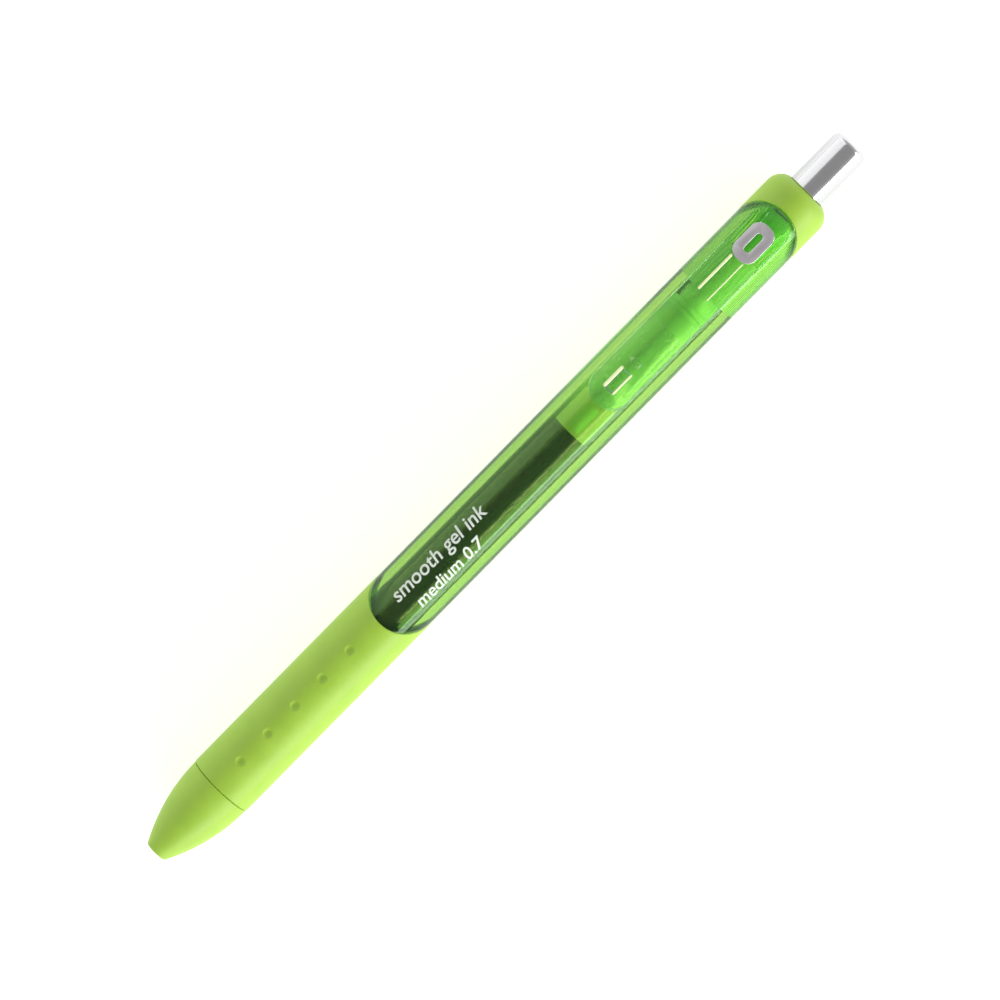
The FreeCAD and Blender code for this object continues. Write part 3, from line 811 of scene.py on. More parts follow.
@dataclass
class CoilMaker:
    """Node tree that winds a round bar about the pen's axis."""

    tree: bpy.types.NodeTree = field(init=False)
    sockets: dict[str, str] = field(init=False, default_factory=dict)

    def __post_init__(self) -> None:
        """Builds the tree."""
        self.tree = bpy.data.node_groups.new("wound_bar", "GeometryNodeTree")
        face = self.tree.interface
        face.new_socket("Geometry", in_out="OUTPUT", socket_type="NodeSocketGeometry")
        kinds = {
            "Turns": "NodeSocketFloat",
            "Length": "NodeSocketFloat",
            "Coil radius": "NodeSocketFloat",
            "Bar radius": "NodeSocketFloat",
            "Place": "NodeSocketVector",
            "Steps": "NodeSocketInt",
            "Finish": "NodeSocketMaterial",
        }
        for name, kind in kinds.items():
            self.sockets[name] = face.new_socket(name, in_out="INPUT", socket_type=kind).identifier
        self._wire()

    def _wire(self) -> None:
        """Adds the tree's nodes and links."""
        nodes, links = self.tree.nodes, self.tree.links
        given = nodes.new("NodeGroupInput")
        spiral = nodes.new("GeometryNodeCurveSpiral")
        turned = nodes.new("GeometryNodeTransform")
        turned.inputs["Rotation"].default_value = (0.0, math.pi / 2, 0.0)
        bar = nodes.new("GeometryNodeCurvePrimitiveCircle")
        bar.inputs["Resolution"].default_value = 14
        swept = nodes.new("GeometryNodeCurveToMesh")
        swept.inputs["Fill Caps"].default_value = True
        smooth = nodes.new("GeometryNodeSetShadeSmooth")
        real = nodes.new("GeometryNodeRealizeInstances")
        dressed = nodes.new("GeometryNodeSetMaterial")
        result = nodes.new("NodeGroupOutput")
        for name, socket in (
            ("Turns", spiral.inputs["Rotations"]),
            ("Length", spiral.inputs["Height"]),
            ("Coil radius", spiral.inputs["Start Radius"]),
            ("Coil radius", spiral.inputs["End Radius"]),
            ("Steps", spiral.inputs["Resolution"]),
            ("Place", turned.inputs["Translation"]),
            ("Bar radius", bar.inputs["Radius"]),
            ("Finish", dressed.inputs["Material"]),
        ):
            links.new(given.outputs[name], socket)
        links.new(spiral.outputs["Curve"], turned.inputs["Geometry"])
        links.new(turned.outputs["Geometry"], swept.inputs["Curve"])
        links.new(bar.outputs["Curve"], swept.inputs["Profile Curve"])
        links.new(swept.outputs["Mesh"], smooth.inputs["Geometry"])
        links.new(smooth.outputs["Geometry"], real.inputs["Geometry"])
        links.new(real.outputs["Geometry"], dressed.inputs["Geometry"])
        links.new(dressed.outputs["Geometry"], result.inputs["Geometry"])

    def wind(self, name: str, finish: bpy.types.Material, **sizes: object) -> bpy.types.Object:
        """Winds one coil and turns it into a plain mesh.

        Args:
            name: the piece's name.
            finish: its material.
            sizes: values of the tree's inputs, spaces written as underscores.

        Returns:
            The new object.
        """
        host = bpy.data.objects.new(name + "_host", bpy.data.meshes.new(name + "_host"))
        bpy.context.scene.collection.objects.link(host)
        modifier = host.modifiers.new("coil", "NODES")
        modifier.node_group = self.tree
        for key, value in sizes.items():
            modifier[self.sockets[key.replace("_", " ")]] = value
        modifier[self.sockets["Finish"]] = finish
        bpy.context.view_layer.update()
        done = host.evaluated_get(bpy.context.evaluated_depsgraph_get())
        mesh = bpy.data.meshes.new_from_object(done)
        bpy.data.objects.remove(host)
        mesh.name = name
        return smooth_object(name, mesh, finish, 50.0)


# ---- window ------------------------------------------------------------------------------------

@dataclass
class Window:
    """Opening of the rubber sleeve: where it lies and how its edge runs."""

    start: float
    end: float
    radius: float
    half_angle: float = math.radians(97.7)
    end_steps: int = 26

    @property
    def end_depth(self) -> float:
        """Length of each round end."""
        return self.radius

    def opening(self, x: float) -> float:
        """Angle from the top to the window's edge.

        Args:
            x: place along the pen.

        Returns:
            The angle, 0 outside the window.
        """
        inside = min(x - self.start, self.end - x)
        if inside <= 0:
            return 0.0
        share = min(1.0, inside / self.end_depth)
        return self.half_angle * math.acos(1 - share) / (math.pi / 2)

    def stations(self) -> list[float]:
        """Places along the window, close together at its round ends."""
        lead = [
            self.end_depth * (1 - math.cos(math.pi / 2 * i / self.end_steps))
            for i in range(self.end_steps + 1)
        ]
        middle = np.linspace(self.start + self.end_depth, self.end - self.end_depth, 40)[1:-1]
        tail = [self.end - u for u in reversed(lead)]
        return [self.start + u for u in lead] + list(middle) + tail

    def edge_points(self) -> np.ndarray:
        """The window's edge unrolled flat, as (x, distance round the pen) points."""
        places = np.array(self.stations())
        fine = np.unique(np.concatenate([
            places,
            self.start + self.end_depth * np.linspace(0, 1, 300) ** 2,
            self.end - self.end_depth * np.linspace(0, 1, 300) ** 2,
        ]))
        side = self.radius * np.array([self.opening(x) for x in fine])
        return np.concatenate([np.stack([fine, side], 1), np.stack([fine, -side], 1)])

    def distance(self, places: np.ndarray) -> np.ndarray:
        """Distance over the surface to the window's edge.

        Args:
            places: (x, angle from the top) of each point, angles from -pi to pi.

        Returns:
            The distances.
        """
        flat = np.stack([places[:, 0], places[:, 1] * self.radius], 1)
        edge = self.edge_points()
        near = np.full(len(flat), np.inf)
        for chunk in np.array_split(edge, 16):
            gap = np.linalg.norm(flat[:, None, :] - chunk[None, :, :], axis=2).min(axis=1)
            near = np.minimum(near, gap)
        return near


def eased(distance: np.ndarray, radius: float) -> np.ndarray:
    """How far a rounded edge falls below the surface.

    Args:
        distance: distance of each point from the edge.
        radius: the rounding's radius.

    Returns:
        The fall of each point.
    """
    inside = np.clip(radius - distance, 0, radius)
    return radius - np.sqrt(radius ** 2 - inside ** 2)


# ---- body of the pen ---------------------------------------------------------------------------

@dataclass
class Body:
    """Barrel, rubber sleeve and the print on the barrel."""

    finishes: Finishes
    coils: CoilMaker
    wall: float = 0.85 * MM
    bore: float = 3.75 * MM
    spigot_bore: float = 3.15 * MM
    spigot_radius: float = 3.65 * MM
    spigot_taper: float = 1.4 * MM
    collar_length: float = 4.35 * MM
    collar_dome: float = 2.8 * MM
    collar_cap: float = 2.2 * MM
    hole: float = 3.2 * MM
    grip_length: float = 34.1 * MM
    sleeve_edge: float = 0.22 * MM
    barrel_edge: float = 0.10 * MM
    barrel_sunk: float = 0.02 * MM
    bond: float = 0.02 * MM
    dimple_pitch: float = 5.72 * MM
    dimple_start: float = 5.3 * MM
    dimple_turn: float = math.radians(4.0)
    dimple_radius: float = 0.7 * MM
    dimple_depth: float = 0.3 * MM
    dimple_lip: float = 0.16 * MM
    dimple_margin: float = 1.15
    window_margin: float = 0.4 * MM
    dimple_rows: int = 3
    dimples_in_row: int = 5
    sleeve: Span = field(init=False)
    barrel: Span = field(init=False)
    window: Window = field(init=False)

    def __post_init__(self) -> None:
        """Reads the frame."""
        self.sleeve = Span.of("grip_sleeve")
        self.barrel = Span.of("barrel")
        start = self.sleeve.start + self.grip_length
        end = self.sleeve.end - self.collar_length
        self.window = Window(start, end, self.sleeve.radius)

    def row_angle(self, row: int) -> float:
        """Angle of one row of dimples from the top."""
        return TURN / self.dimple_rows * row + self.dimple_turn

    def dimple_places(self) -> list[Point]:
        """(x, angle) of each dimple."""
        return [
            (self.sleeve.start + self.dimple_start + self.dimple_pitch * i, self.row_angle(row))
            for row in range(self.dimple_rows)
            for i in range(self.dimples_in_row)
        ]

    def sleeve_columns(self) -> np.ndarray:
        """Angles of the sleeve's points, close together where dimples lie."""
        reach = (self.dimple_radius + self.dimple_lip) * self.dimple_margin / self.sleeve.radius
        fine = np.linspace(-reach, reach, 19)
        coarse = np.linspace(reach, TURN / self.dimple_rows - reach, 20)[1:-1]
        rows = range(self.dimple_rows)
        angles = [self.row_angle(row) + part for row in rows for part in (fine, coarse)]
        every = np.mod(np.concatenate(angles), TURN)
        return np.concatenate([[0.0], np.sort(every[every > 1e-4]), [TURN]])

    def grip_stations(self) -> list[float]:
        """Places along the grip in front of the window."""
        reach = (self.dimple_radius + self.dimple_lip) * self.dimple_margin
        fine = np.linspace(-reach, reach, 17)
        first = self.sleeve.start + self.sleeve_edge
        places = set(np.linspace(first, self.window.start - self.window_margin, 22))
        for i in range(self.dimples_in_row):
            centre = self.sleeve.start + self.dimple_start + self.dimple_pitch * i
            places = {x for x in places if abs(x - centre) > reach * 1.1} | set(centre + fine)
        near = [self.window.start - d * MM for d in (0.3, 0.2, 0.14, 0.09, 0.05, 0.02)]
        return sorted(places | set(near))

    def sleeve_profile(self) -> tuple[list[Point], list[Point]]:
        """Outer and inner rows of the sleeve as (x, radius), from nose to collar and back."""
        s = self.sleeve
        e = self.sleeve_edge
        inner = s.radius - self.wall
        front = [(s.start, inner), (s.start, (inner + s.radius) / 2)]
        front += [
            (s.start + e * (1 - math.cos(a)), s.radius - e * (1 - math.sin(a)))
            for a in np.linspace(0, math.pi / 2, 6)[:-1]
        ]
        grip = [(x, s.radius) for x in self.grip_stations()]
        glass = [(x, s.radius) for x in self.window.stations()]
        tail_start = self.window.end
        steps = (0.02, 0.05, 0.09, 0.14, 0.2, 0.3, 0.8, 1.4)
        near = [(tail_start + d * MM, s.radius) for d in steps]
        near = [p for p in near if p[0] < s.end - self.collar_dome - 0.05 * MM]
        d = self.collar_dome
        last = math.acos((self.hole + 0.1 * MM - s.radius + d) / d)
        dome = [
            (s.end - d + d * math.sin(a), s.radius - d + d * math.cos(a))
            for a in np.linspace(0, last, 18)
        ]
        rim = dome[-1][0]
        lip = [(rim - 0.02 * MM, self.hole + 0.03 * MM), (rim - 0.1 * MM, self.hole)]
        lip += [(s.end - self.collar_cap, self.hole)]
        outer = front + grip + glass + near + dome + lip
        back = [(s.end - self.collar_cap, inner), (self.window.end + self.window_margin, inner)]
        back += [(x, inner) for x in reversed(self.window.stations())]
        back += [(self.window.start - self.window_margin, inner)]
        return outer, back

    def build_sleeve(self) -> bpy.types.Object:
        """Rubber sleeve with its window, dimples and domed collar."""
        outer, inner = self.sleeve_profile()
        columns = self.sleeve_columns()
        count = len(columns)
        rows = outer + inner
        grid = np.array([
            (x, self.window.opening(x) + a * (1 - self.window.opening(x) / math.pi))
            for x, _ in rows
            for a in columns
        ])
        radius = np.repeat([r for _, r in rows], count)
        skin = np.abs(radius - self.sleeve.radius) < SAME
        signed = np.where(grid[:, 1] > math.pi, grid[:, 1] - TURN, grid[:, 1])
        places = np.stack([grid[:, 0], signed], 1)
        radius[skin] -= eased(self.window.distance(places[skin]), self.sleeve_edge)
        radius[skin] -= self.dimple_fall(places[skin])
        verts = [on_axis(x, r, a) for (x, a), r in zip(grid, radius)]
        faces = []
        for i in range(len(rows)):
            faces += strip(i * count, (i + 1) % len(rows) * count, count, False)
        faces += self.window_rim(outer, count)
        return mesh_object("rubber_sleeve", verts, faces, self.finishes.rubber, 50.0)

    def window_rim(self, outer: list[Point], count: int) -> list[tuple[int, ...]]:
        """Faces through the rubber's thickness along the window's edge.

        Args:
            outer: the sleeve's outer rows.
            count: points in a row.

        Returns:
            The faces.
        """
        places = self.window.stations()
        front = next(
            i for i, (x, r) in enumerate(outer)
            if abs(x - places[0]) < SAME and r == self.sleeve.radius
        )
        back = len(outer) + 2 + len(places) - 1
        faces: list[tuple[int, ...]] = []
        for i in range(len(places) - 1):
            for side in (0, count - 1):
                a, b = (front + i) * count + side, (front + i + 1) * count + side
                c, d = (back - i - 1) * count + side, (back - i) * count + side
                faces.append((a, b, c, d))
        return faces

    def dimple_fall(self, places: np.ndarray) -> np.ndarray:
        """Depth of the dimples under each point of the sleeve.

        Args:
            places: (x, angle) of each point.

        Returns:
            The depths.
        """
        fall = np.zeros(len(places))
        for x, angle in self.dimple_places():
            turn = (places[:, 1] - angle + math.pi) % TURN - math.pi
            away = np.hypot(places[:, 0] - x, turn * self.sleeve.radius)
            bowl = self.dimple_depth * np.clip(1 - (away / self.dimple_radius) ** 2, 0, 1) ** 0.6
            lip = np.clip(1 - away / (self.dimple_radius + self.dimple_lip), 0, 1)
            fall = np.maximum(fall, np.maximum(bowl, 0.5 * self.dimple_depth * lip ** 2))
        return fall

    def build_barrel(self) -> bpy.types.Object:
        """Clear barrel: flush with the rubber in the window, thin under it, bored through."""
        w = self.window
        under = w.radius - self.wall + self.bond
        raised = w.radius - self.barrel_sunk
        shift = self.bond / w.radius
        pane, rest = 40, 60
        front = self.sleeve.start
        outer = [(x, self.spigot_radius) for x in (self.barrel.start, front)] + [(front, under)]
        outer += [(x, under) for x in np.linspace(front, w.start, 8)[1:-1]]
        outer += [(x, raised) for x in w.stations()]
        outer += [(w.end + 0.5 * MM, under), (self.barrel.end, under)]
        bore = self.barrel_bore()
        verts = []
        spots = []
        for x, r in outer:
            gap = w.opening(x) + (shift if w.opening(x) > 0 else 0.0)
            lifted = r == raised
            top = np.linspace(-gap, gap, pane)
            low = np.linspace(gap, TURN - gap, rest)
            verts += [(x, raised if lifted else r, a) for a in top]
            verts += [(x, under if lifted else r, a) for a in low]
            spots += [lifted] * pane + [False] * rest
        turned = np.concatenate([np.linspace(0, SAME, pane), np.linspace(0, TURN, rest)])
        for x, r in bore:
            verts += [(x, r, a) for a in turned]
        count = pane + rest
        grid = np.array(verts)
        grown = np.array(spots + [False] * (len(bore) * count))
        places = grid[grown][:, [0, 2]]
        grid[grown, 1] -= eased(w.distance(places), self.barrel_edge)
        faces = []
        total = len(outer) + len(bore)
        for i in range(total):
            faces += strip(i * count, (i + 1) % total * count, count, True)
        points = [on_axis(*v) for v in grid]
        return mesh_object("clear_barrel", points, faces, self.finishes.barrel, 40.0)

    def barrel_bore(self) -> list[Point]:
        """Rows of the barrel's bore as (x, radius), from the button's end to the nose's."""
        cam = Span.of("cam_sleeve")
        step = cam.start - 0.8 * MM
        taper = self.sleeve.start + self.spigot_taper
        rows = [(self.barrel.end, self.hole), (cam.end, self.hole), (cam.end, cam.radius)]
        rows += [(step, cam.radius), (step, self.bore)]
        rows += [(x, self.bore) for x in np.linspace(step, taper, 24)[1:]]
        return rows + [(self.sleeve.start, self.spigot_bore), (self.barrel.start, self.spigot_bore)]

    def build_thread(self) -> bpy.types.Object:
        """Round screw ridge on the barrel's spigot."""
        pitch, turns, bar = 1.0 * MM, 2.4, 0.21 * MM
        start = self.barrel.start + 0.6 * pitch
        return self.coils.wind(
            "screw_ridge", self.finishes.barrel, Turns=turns, Length=pitch * turns,
            Coil_radius=self.spigot_radius, Bar_radius=bar, Steps=48, Place=(start, 0.0, AXIS_Z),
        )

    def dress(self) -> None:
        """Makes the body's pieces and puts them on the barrel's body."""
        keep(self.build_sleeve(), "barrel", "soft_rubber", "grip_sleeve")
        keep(self.build_barrel(), "barrel", "clear_green_plastic", "barrel")
        keep(self.build_thread(), "barrel", "clear_green_plastic")


@dataclass
class Print:
    """Two plain lines of print on the window."""

    finishes: Finishes
    radius: float
    start: float
    lines: tuple[tuple[str, float, float, float], ...] = (
        ("smooth gel ink", 0.0, 1.05, 3.1),
        ("medium 0.7", 1.9, -2.15, 2.75),
    )
    thickness: float = 0.012 * MM
    strip_width: float = 0.2 * MM
    weight: float = 0.04 * MM
    shear: float = 0.15
    inset: float = 4.0 * MM

    def build_line(self, text: str, offset: float, across: float, size: float) -> bpy.types.Object:
        """Makes one line of print.

        Args:
            text: its words.
            offset: millimetres from where the print starts.
            across: millimetres from the middle of the window to the line's middle.
            size: letter size in millimetres.

        Returns:
            The print, bent round the barrel.
        """
        curve = bpy.data.curves.new("print", "FONT")
        curve.body = text
        curve.size = size * MM
        curve.extrude = self.thickness / 2
        curve.align_y = "CENTER"
        curve.resolution_u = 6
        curve.offset = self.weight
        curve.shear = self.shear
        holder = bpy.data.objects.new("print", curve)
        bpy.context.scene.collection.objects.link(holder)
        bpy.context.view_layer.update()
        done = holder.evaluated_get(bpy.context.evaluated_depsgraph_get())
        mesh = bpy.data.meshes.new_from_object(done)
        bpy.data.objects.remove(holder)
        self.bend(mesh, self.start + self.inset + offset * MM, across * MM)
        return smooth_object("print_" + text.replace(" ", "_"), mesh, self.finishes.print_ink, 30.0)

    def bend(self, mesh: bpy.types.Mesh, start: float, across: float) -> None:
        """Cuts flat print into narrow strips and wraps it round the barrel.

        Args:
            mesh: flat print in the XY plane.
            start: where its left end goes along the pen.
            across: distance of its middle from the window's middle, towards +Y.
        """
        work = bmesh.new()
        work.from_mesh(mesh)
        bmesh.ops.remove_doubles(work, verts=work.verts, dist=WELD)
        reach = max(abs(v.co.y) for v in work.verts)
        cuts = int(reach / self.strip_width) + 1
        for i in range(-cuts, cuts + 1):
            parts = work.verts[:] + work.edges[:] + work.faces[:]
            cut = (0, i * self.strip_width, 0)
            bmesh.ops.bisect_plane(work, geom=parts, dist=1e-8, plane_co=cut, plane_no=(0, 1, 0))
        bmesh.ops.triangulate(work, faces=work.faces)
        for v in work.verts:
            angle = (v.co.y + across) / self.radius
            v.co = on_axis(start + v.co.x, self.radius + self.thickness / 2 + v.co.z, angle)
        bmesh.ops.recalc_face_normals(work, faces=work.faces)
        work.to_mesh(mesh)
        work.free()

    def dress(self) -> None:
        """Makes the print and puts it on the barrel."""
        for line in self.lines:
            keep(self.build_line(*line), "barrel", "clear_green_plastic")


# ---- nose --------------------------------------------------------------------------------------

@dataclass
class Nose:
    """Screw-off nose: rubber skin over a hard core."""

    finishes: Finishes
    end_radius: float = 1.75 * MM
    hole: float = 1.3 * MM
    skin: float = 0.45 * MM
    edge: float = 0.2 * MM

    def curve(self, station: float, length: float, radius: float, sunk: float) -> float:
        """Radius of the nose's curve.

        Args:
            station: distance from the nose's end.
            length: the nose's length.
            radius: the pen's radius.
            sunk: how far under the rubber's surface.

        Returns:
            The radius there.
        """
        rise = radius - self.end_radius
        arc = (length ** 2 + rise ** 2) / (2 * rise)
        return radius - arc + math.sqrt((arc - sunk) ** 2 - (length - station) ** 2)

    def build_skin(self) -> bpy.types.Object:
        """Rubber skin of the nose."""
        s = Span.of("nose_skin")
        length = s.end - s.start
        outer = [
            (s.start + u, self.curve(u, length, s.radius, 0), 0.0)
            for u in np.linspace(0, length, 40)[1:-1]
        ]
        inner = [
            (s.start + u, self.curve(u, length, s.radius, self.skin), 0.0)
            for u in np.linspace(length, self.skin, 20)
        ]
        corners = [(s.start, self.hole, 0.06 * MM), (s.start, self.end_radius, self.edge)]
        corners += outer + [(s.end, s.radius, self.edge)] + inner
        corners += [(s.start + self.skin, self.hole, 0.0)]
        return lathe("rubber_nose", outline(corners), self.finishes.rubber, 128, 50.0)

    def dress(self) -> None:
        """Makes the nose's pieces."""
        keep(self.build_skin(), "nose", "soft_rubber", "nose_skin")
        core = polished("hard_nose_core", "nose_core", self.finishes.white, EASED)
        keep(core, "nose", "white_plastic")


# ---- refill ------------------------------------------------------------------------------------

@dataclass
class Refill:
    """Everything that slides with the point."""

    finishes: Finishes
    coils: CoilMaker
    tube_wall: float = 0.6 * MM
    wetting: float = 0.02 * MM
    point_bore: float = 0.72 * MM
    nib_bore: float = 0.2 * MM
    cone: float = 2.8 * MM
    rim: float = 0.4 * MM
    neck_radius: float = 1.75 * MM
    flange: float = 1.2 * MM
    funnel: float = 2.5 * MM
    funnel_lip: float = 0.5 * MM
    ink_share: float = 0.9
    lip_share: float = 0.82
    seat_share: float = 1.04
    cone_bend: float = 0.9 * MM
    step: float = 0.25 * MM
    bore_stop: float = 1.5 * MM
    nib_stop: float = 1.2 * MM
    groove: tuple[float, ...] = (3.0 * MM, 3.05 * MM, 3.35 * MM, 3.4 * MM)
    groove_share: float = 0.95
    spring_turns: float = 11.0
    spring_wire: float = 0.4 * MM
    tip_turns: float = 14.0
    tip_coiled: float = 7.0 * MM
    tip_wire: float = 0.28 * MM
    travel: float = 5.6 * MM

    def build_tube(self) -> bpy.types.Object:
        """Clear tube with eased ends."""
        s = Span.of("refill_tube")
        corners = plain_corners(s, s.radius - self.tube_wall, 0.1 * MM)
        return lathe("refill_tube_clear", outline(corners), self.finishes.tube)

    def build_ink(self) -> bpy.types.Object:
        """Ink column, which wets the tube's wall and ends in a dished surface."""
        s = Span.of("ink_column")
        holder_end = Span.of("tip_holder").end
        radius = s.radius + self.wetting
        dish = 0.5 * MM
        rear = [(s.end - dish * (1 - t * t), radius * t) for t in np.linspace(1, 0, 10)]
        thin = self.point_bore * self.ink_share
        points = [(s.start, 0.0), (s.start, thin), (holder_end - self.funnel, thin)]
        points += [(holder_end, radius - self.funnel_lip), (holder_end + 0.02 * MM, radius)]
        return lathe("ink_dark_green", points + rear, self.finishes.ink, 96, 50.0)

    def build_grease(self) -> bpy.types.Object:
        """Grease follower with dished ends."""
        s = Span.of("ink_follower")
        radius = s.radius + self.wetting / 2
        front = [(s.start - 0.45 * MM * (1 - t * t), radius * t) for t in np.linspace(0, 1, 8)]
        rear = [(s.end - 0.4 * MM * (1 - t * t), radius * t) for t in np.linspace(1, 0, 8)]
        return lathe("grease_follower", front + rear, self.finishes.grease, 96, 50.0)

    def build_film(self) -> bpy.types.Object:
        """Film that the grease leaves on the tube's wall."""
        start = Span.of("ink_follower")
        end = Span.of("end_plug").start
        bore = start.radius - self.wetting
        points = [(start.end, bore), (end, bore)]
        points += [(x, bore - self.wetting) for x in (end, start.end)]
        return lathe("grease_film", points, self.finishes.film, 96, 50.0)

    def build_float(self) -> bpy.types.Object:
        """Float inside the grease."""
        s = Span.of("follower_float")
        corners = plain_corners(s, 0.0, 0.3 * s.radius)
        return lathe("grease_float", outline(corners), self.finishes.green, 48)

    def build_point(self) -> bpy.types.Object:
        """Turned metal point with a groove behind its cone."""
        s = Span.of("metal_point")
        ball = Span.of("writing_ball")
        shoulder = s.start + self.cone
        low = s.radius * self.groove_share
        corners = [
            (s.start, self.rim * self.lip_share, 0.0), (s.start, self.rim, 0.02 * MM),
            (shoulder - self.cone_bend, s.radius * 0.72, 0.2 * MM),
            (shoulder, s.radius * 0.78, EASED), (shoulder + self.step, s.radius, EASED),
            *((shoulder + u, r, 0.0) for u, r in zip(self.groove, (s.radius, low, low, s.radius))),
            (s.end, s.radius, 0.06 * MM),
            (s.end, self.point_bore, 0.0), (ball.end + self.bore_stop, self.point_bore, 0.0),
            (ball.end + self.nib_stop, self.nib_bore, 0.0),
            (ball.end + 0.01 * MM, self.nib_bore, 0.0),
            (ball.end - ball.radius, ball.radius * self.seat_share, EASED),
        ]
        return lathe("turned_point", outline(corners, 4), self.finishes.point, 64)

    def build_ball(self) -> bpy.types.Object:
        """Writing ball."""
        s = Span.of("writing_ball")
        middle = (s.start + s.end) / 2
        points = [
            (middle - s.radius * math.cos(a), s.radius * math.sin(a) if 0 < i < 24 else 0.0)
            for i, a in enumerate(np.linspace(0, math.pi, 25))
        ]
        return lathe("ball_0.7", points, self.finishes.carbide, 48)

    def build_holder(self) -> bpy.types.Object:
        """Moulded holder between the point and the tube."""
        s = Span.of("tip_holder")
        point = Span.of("metal_point")
        tube = Span.of("refill_tube")
        bore = tube.radius - self.tube_wall
        shoulder = tube.start - self.flange
        corners = [
            (s.start, point.radius, 0.0), (s.start, self.neck_radius, 0.15 * MM),
            (shoulder, self.neck_radius, 0.1 * MM), (shoulder, tube.radius, 0.12 * MM),
            (tube.start, tube.radius, 0.08 * MM), (tube.start, bore, 0.0), (s.end, bore, 0.1 * MM),
            (s.end, bore - self.funnel_lip, 0.0), (s.end - self.funnel, self.point_bore, 0.0),
            (point.end, self.point_bore, 0.0), (point.end, point.radius, 0.0),
        ]
        return lathe("point_holder", outline(corners), self.finishes.white, 80)

    def build_return_spring(self) -> bpy.types.Object:
        """Return spring round the holder's neck."""
        s = Span.of("return_spring")
        bar = self.spring_wire / 2
        return self.coils.wind(
            "return_coil", self.finishes.wire, Turns=self.spring_turns,
            Length=s.end - s.start - 2 * bar, Coil_radius=s.radius - bar, Bar_radius=bar,
            Steps=40, Place=(s.start + bar, 0.0, AXIS_Z),
        )

    def build_tip_spring(self) -> bpy.types.Object:
        """Fine spring behind the ball."""
        s = Span.of("tip_spring")
        bar = self.tip_wire / 2
        return self.coils.wind(
            "ball_spring_coil", self.finishes.wire, Turns=self.tip_turns, Length=self.tip_coiled,
            Coil_radius=s.radius - bar, Bar_radius=bar, Steps=24,
            Place=(s.end - bar - self.tip_coiled, 0.0, AXIS_Z),
        )

    def dress(self) -> None:
        """Makes the refill's pieces."""
        keep(self.build_tube(), "refill", "clear_plastic", "refill_tube")
        keep(self.build_ink(), "refill", "dark_green_ink", "ink_column")
        keep(self.build_grease(), "refill", "clear_grease", "ink_follower")
        keep(self.build_film(), "refill", "clear_grease")
        keep(self.build_float(), "refill", "clear_plastic", "follower_float")
        keep(self.build_point(), "refill", "point_metal", "metal_point")
        keep(self.build_holder(), "refill", "white_plastic", "tip_holder")
        keep(self.build_tip_spring(), "refill", "spring_steel", "tip_spring")
        plug = polished("vented_plug", "end_plug", self.finishes.lime, EASED)
        keep(plug, "refill", "lime_plastic")
        keep(self.build_ball(), "ball", "carbide", "writing_ball")
        spring = keep(self.build_return_spring(), "barrel", "spring_steel", "return_spring")
        s = Span.of("return_spring")
        left = 1 - self.travel / (s.end - s.start)
        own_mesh(spring)


# ---- click mechanism ---------------------------------------------------------------------------

@dataclass
class Click:
    """Push button, its plunger, the rotor and the fixed cam sleeve."""

    finishes: Finishes
    cap_wall: float = 0.35 * MM
    cap_round: float = 1.2 * MM
    crown: float = 0.12 * MM
    inner_round: float = 0.7 * MM

    def build_cap(self) -> bpy.types.Object:
        """Drawn metal cap with a barely domed end."""
        s = Span.of("button_cap")
        bore = s.radius - self.cap_wall
        edge = self.cap_round
        flat = s.radius - edge
        rounding = [
            (s.end - self.crown - edge * (1 - math.sin(a)), s.radius - edge * (1 - math.cos(a)))
            for a in np.linspace(0, math.pi / 2, 14)
        ]
        dome = [(s.end - self.crown * (r / flat) ** 2, r) for r in np.linspace(flat, 0, 10)[1:]]
        roof = s.end - self.cap_wall - self.crown
        inside = [(roof, 0.0), (roof, bore - self.inner_round)]
        inside += [(roof - self.inner_round, bore), (s.start, bore)]
        front = [(s.start, s.radius - 0.08 * MM), (s.start + 0.08 * MM, s.radius)]
        points = front + rounding + dome + inside
        return lathe("metal_button", points, self.finishes.button, 128, 50.0)

    def dress(self) -> None:
        """Makes the mechanism's pieces."""
        keep(self.build_cap(), "button", "button_metal", "button_cap")
        for name, node, edge, body in (
            ("toothed_plunger", "plunger", EASED, "button"),
            ("index_rotor", "rotor", EASED, "refill"),
            ("grooved_sleeve", "cam_sleeve", 0.04 * MM, "barrel"),
        ):
            keep(polished(name, node, self.finishes.lime, edge), body, "lime_plastic")


# ---- clip --------------------------------------------------------------------------------------

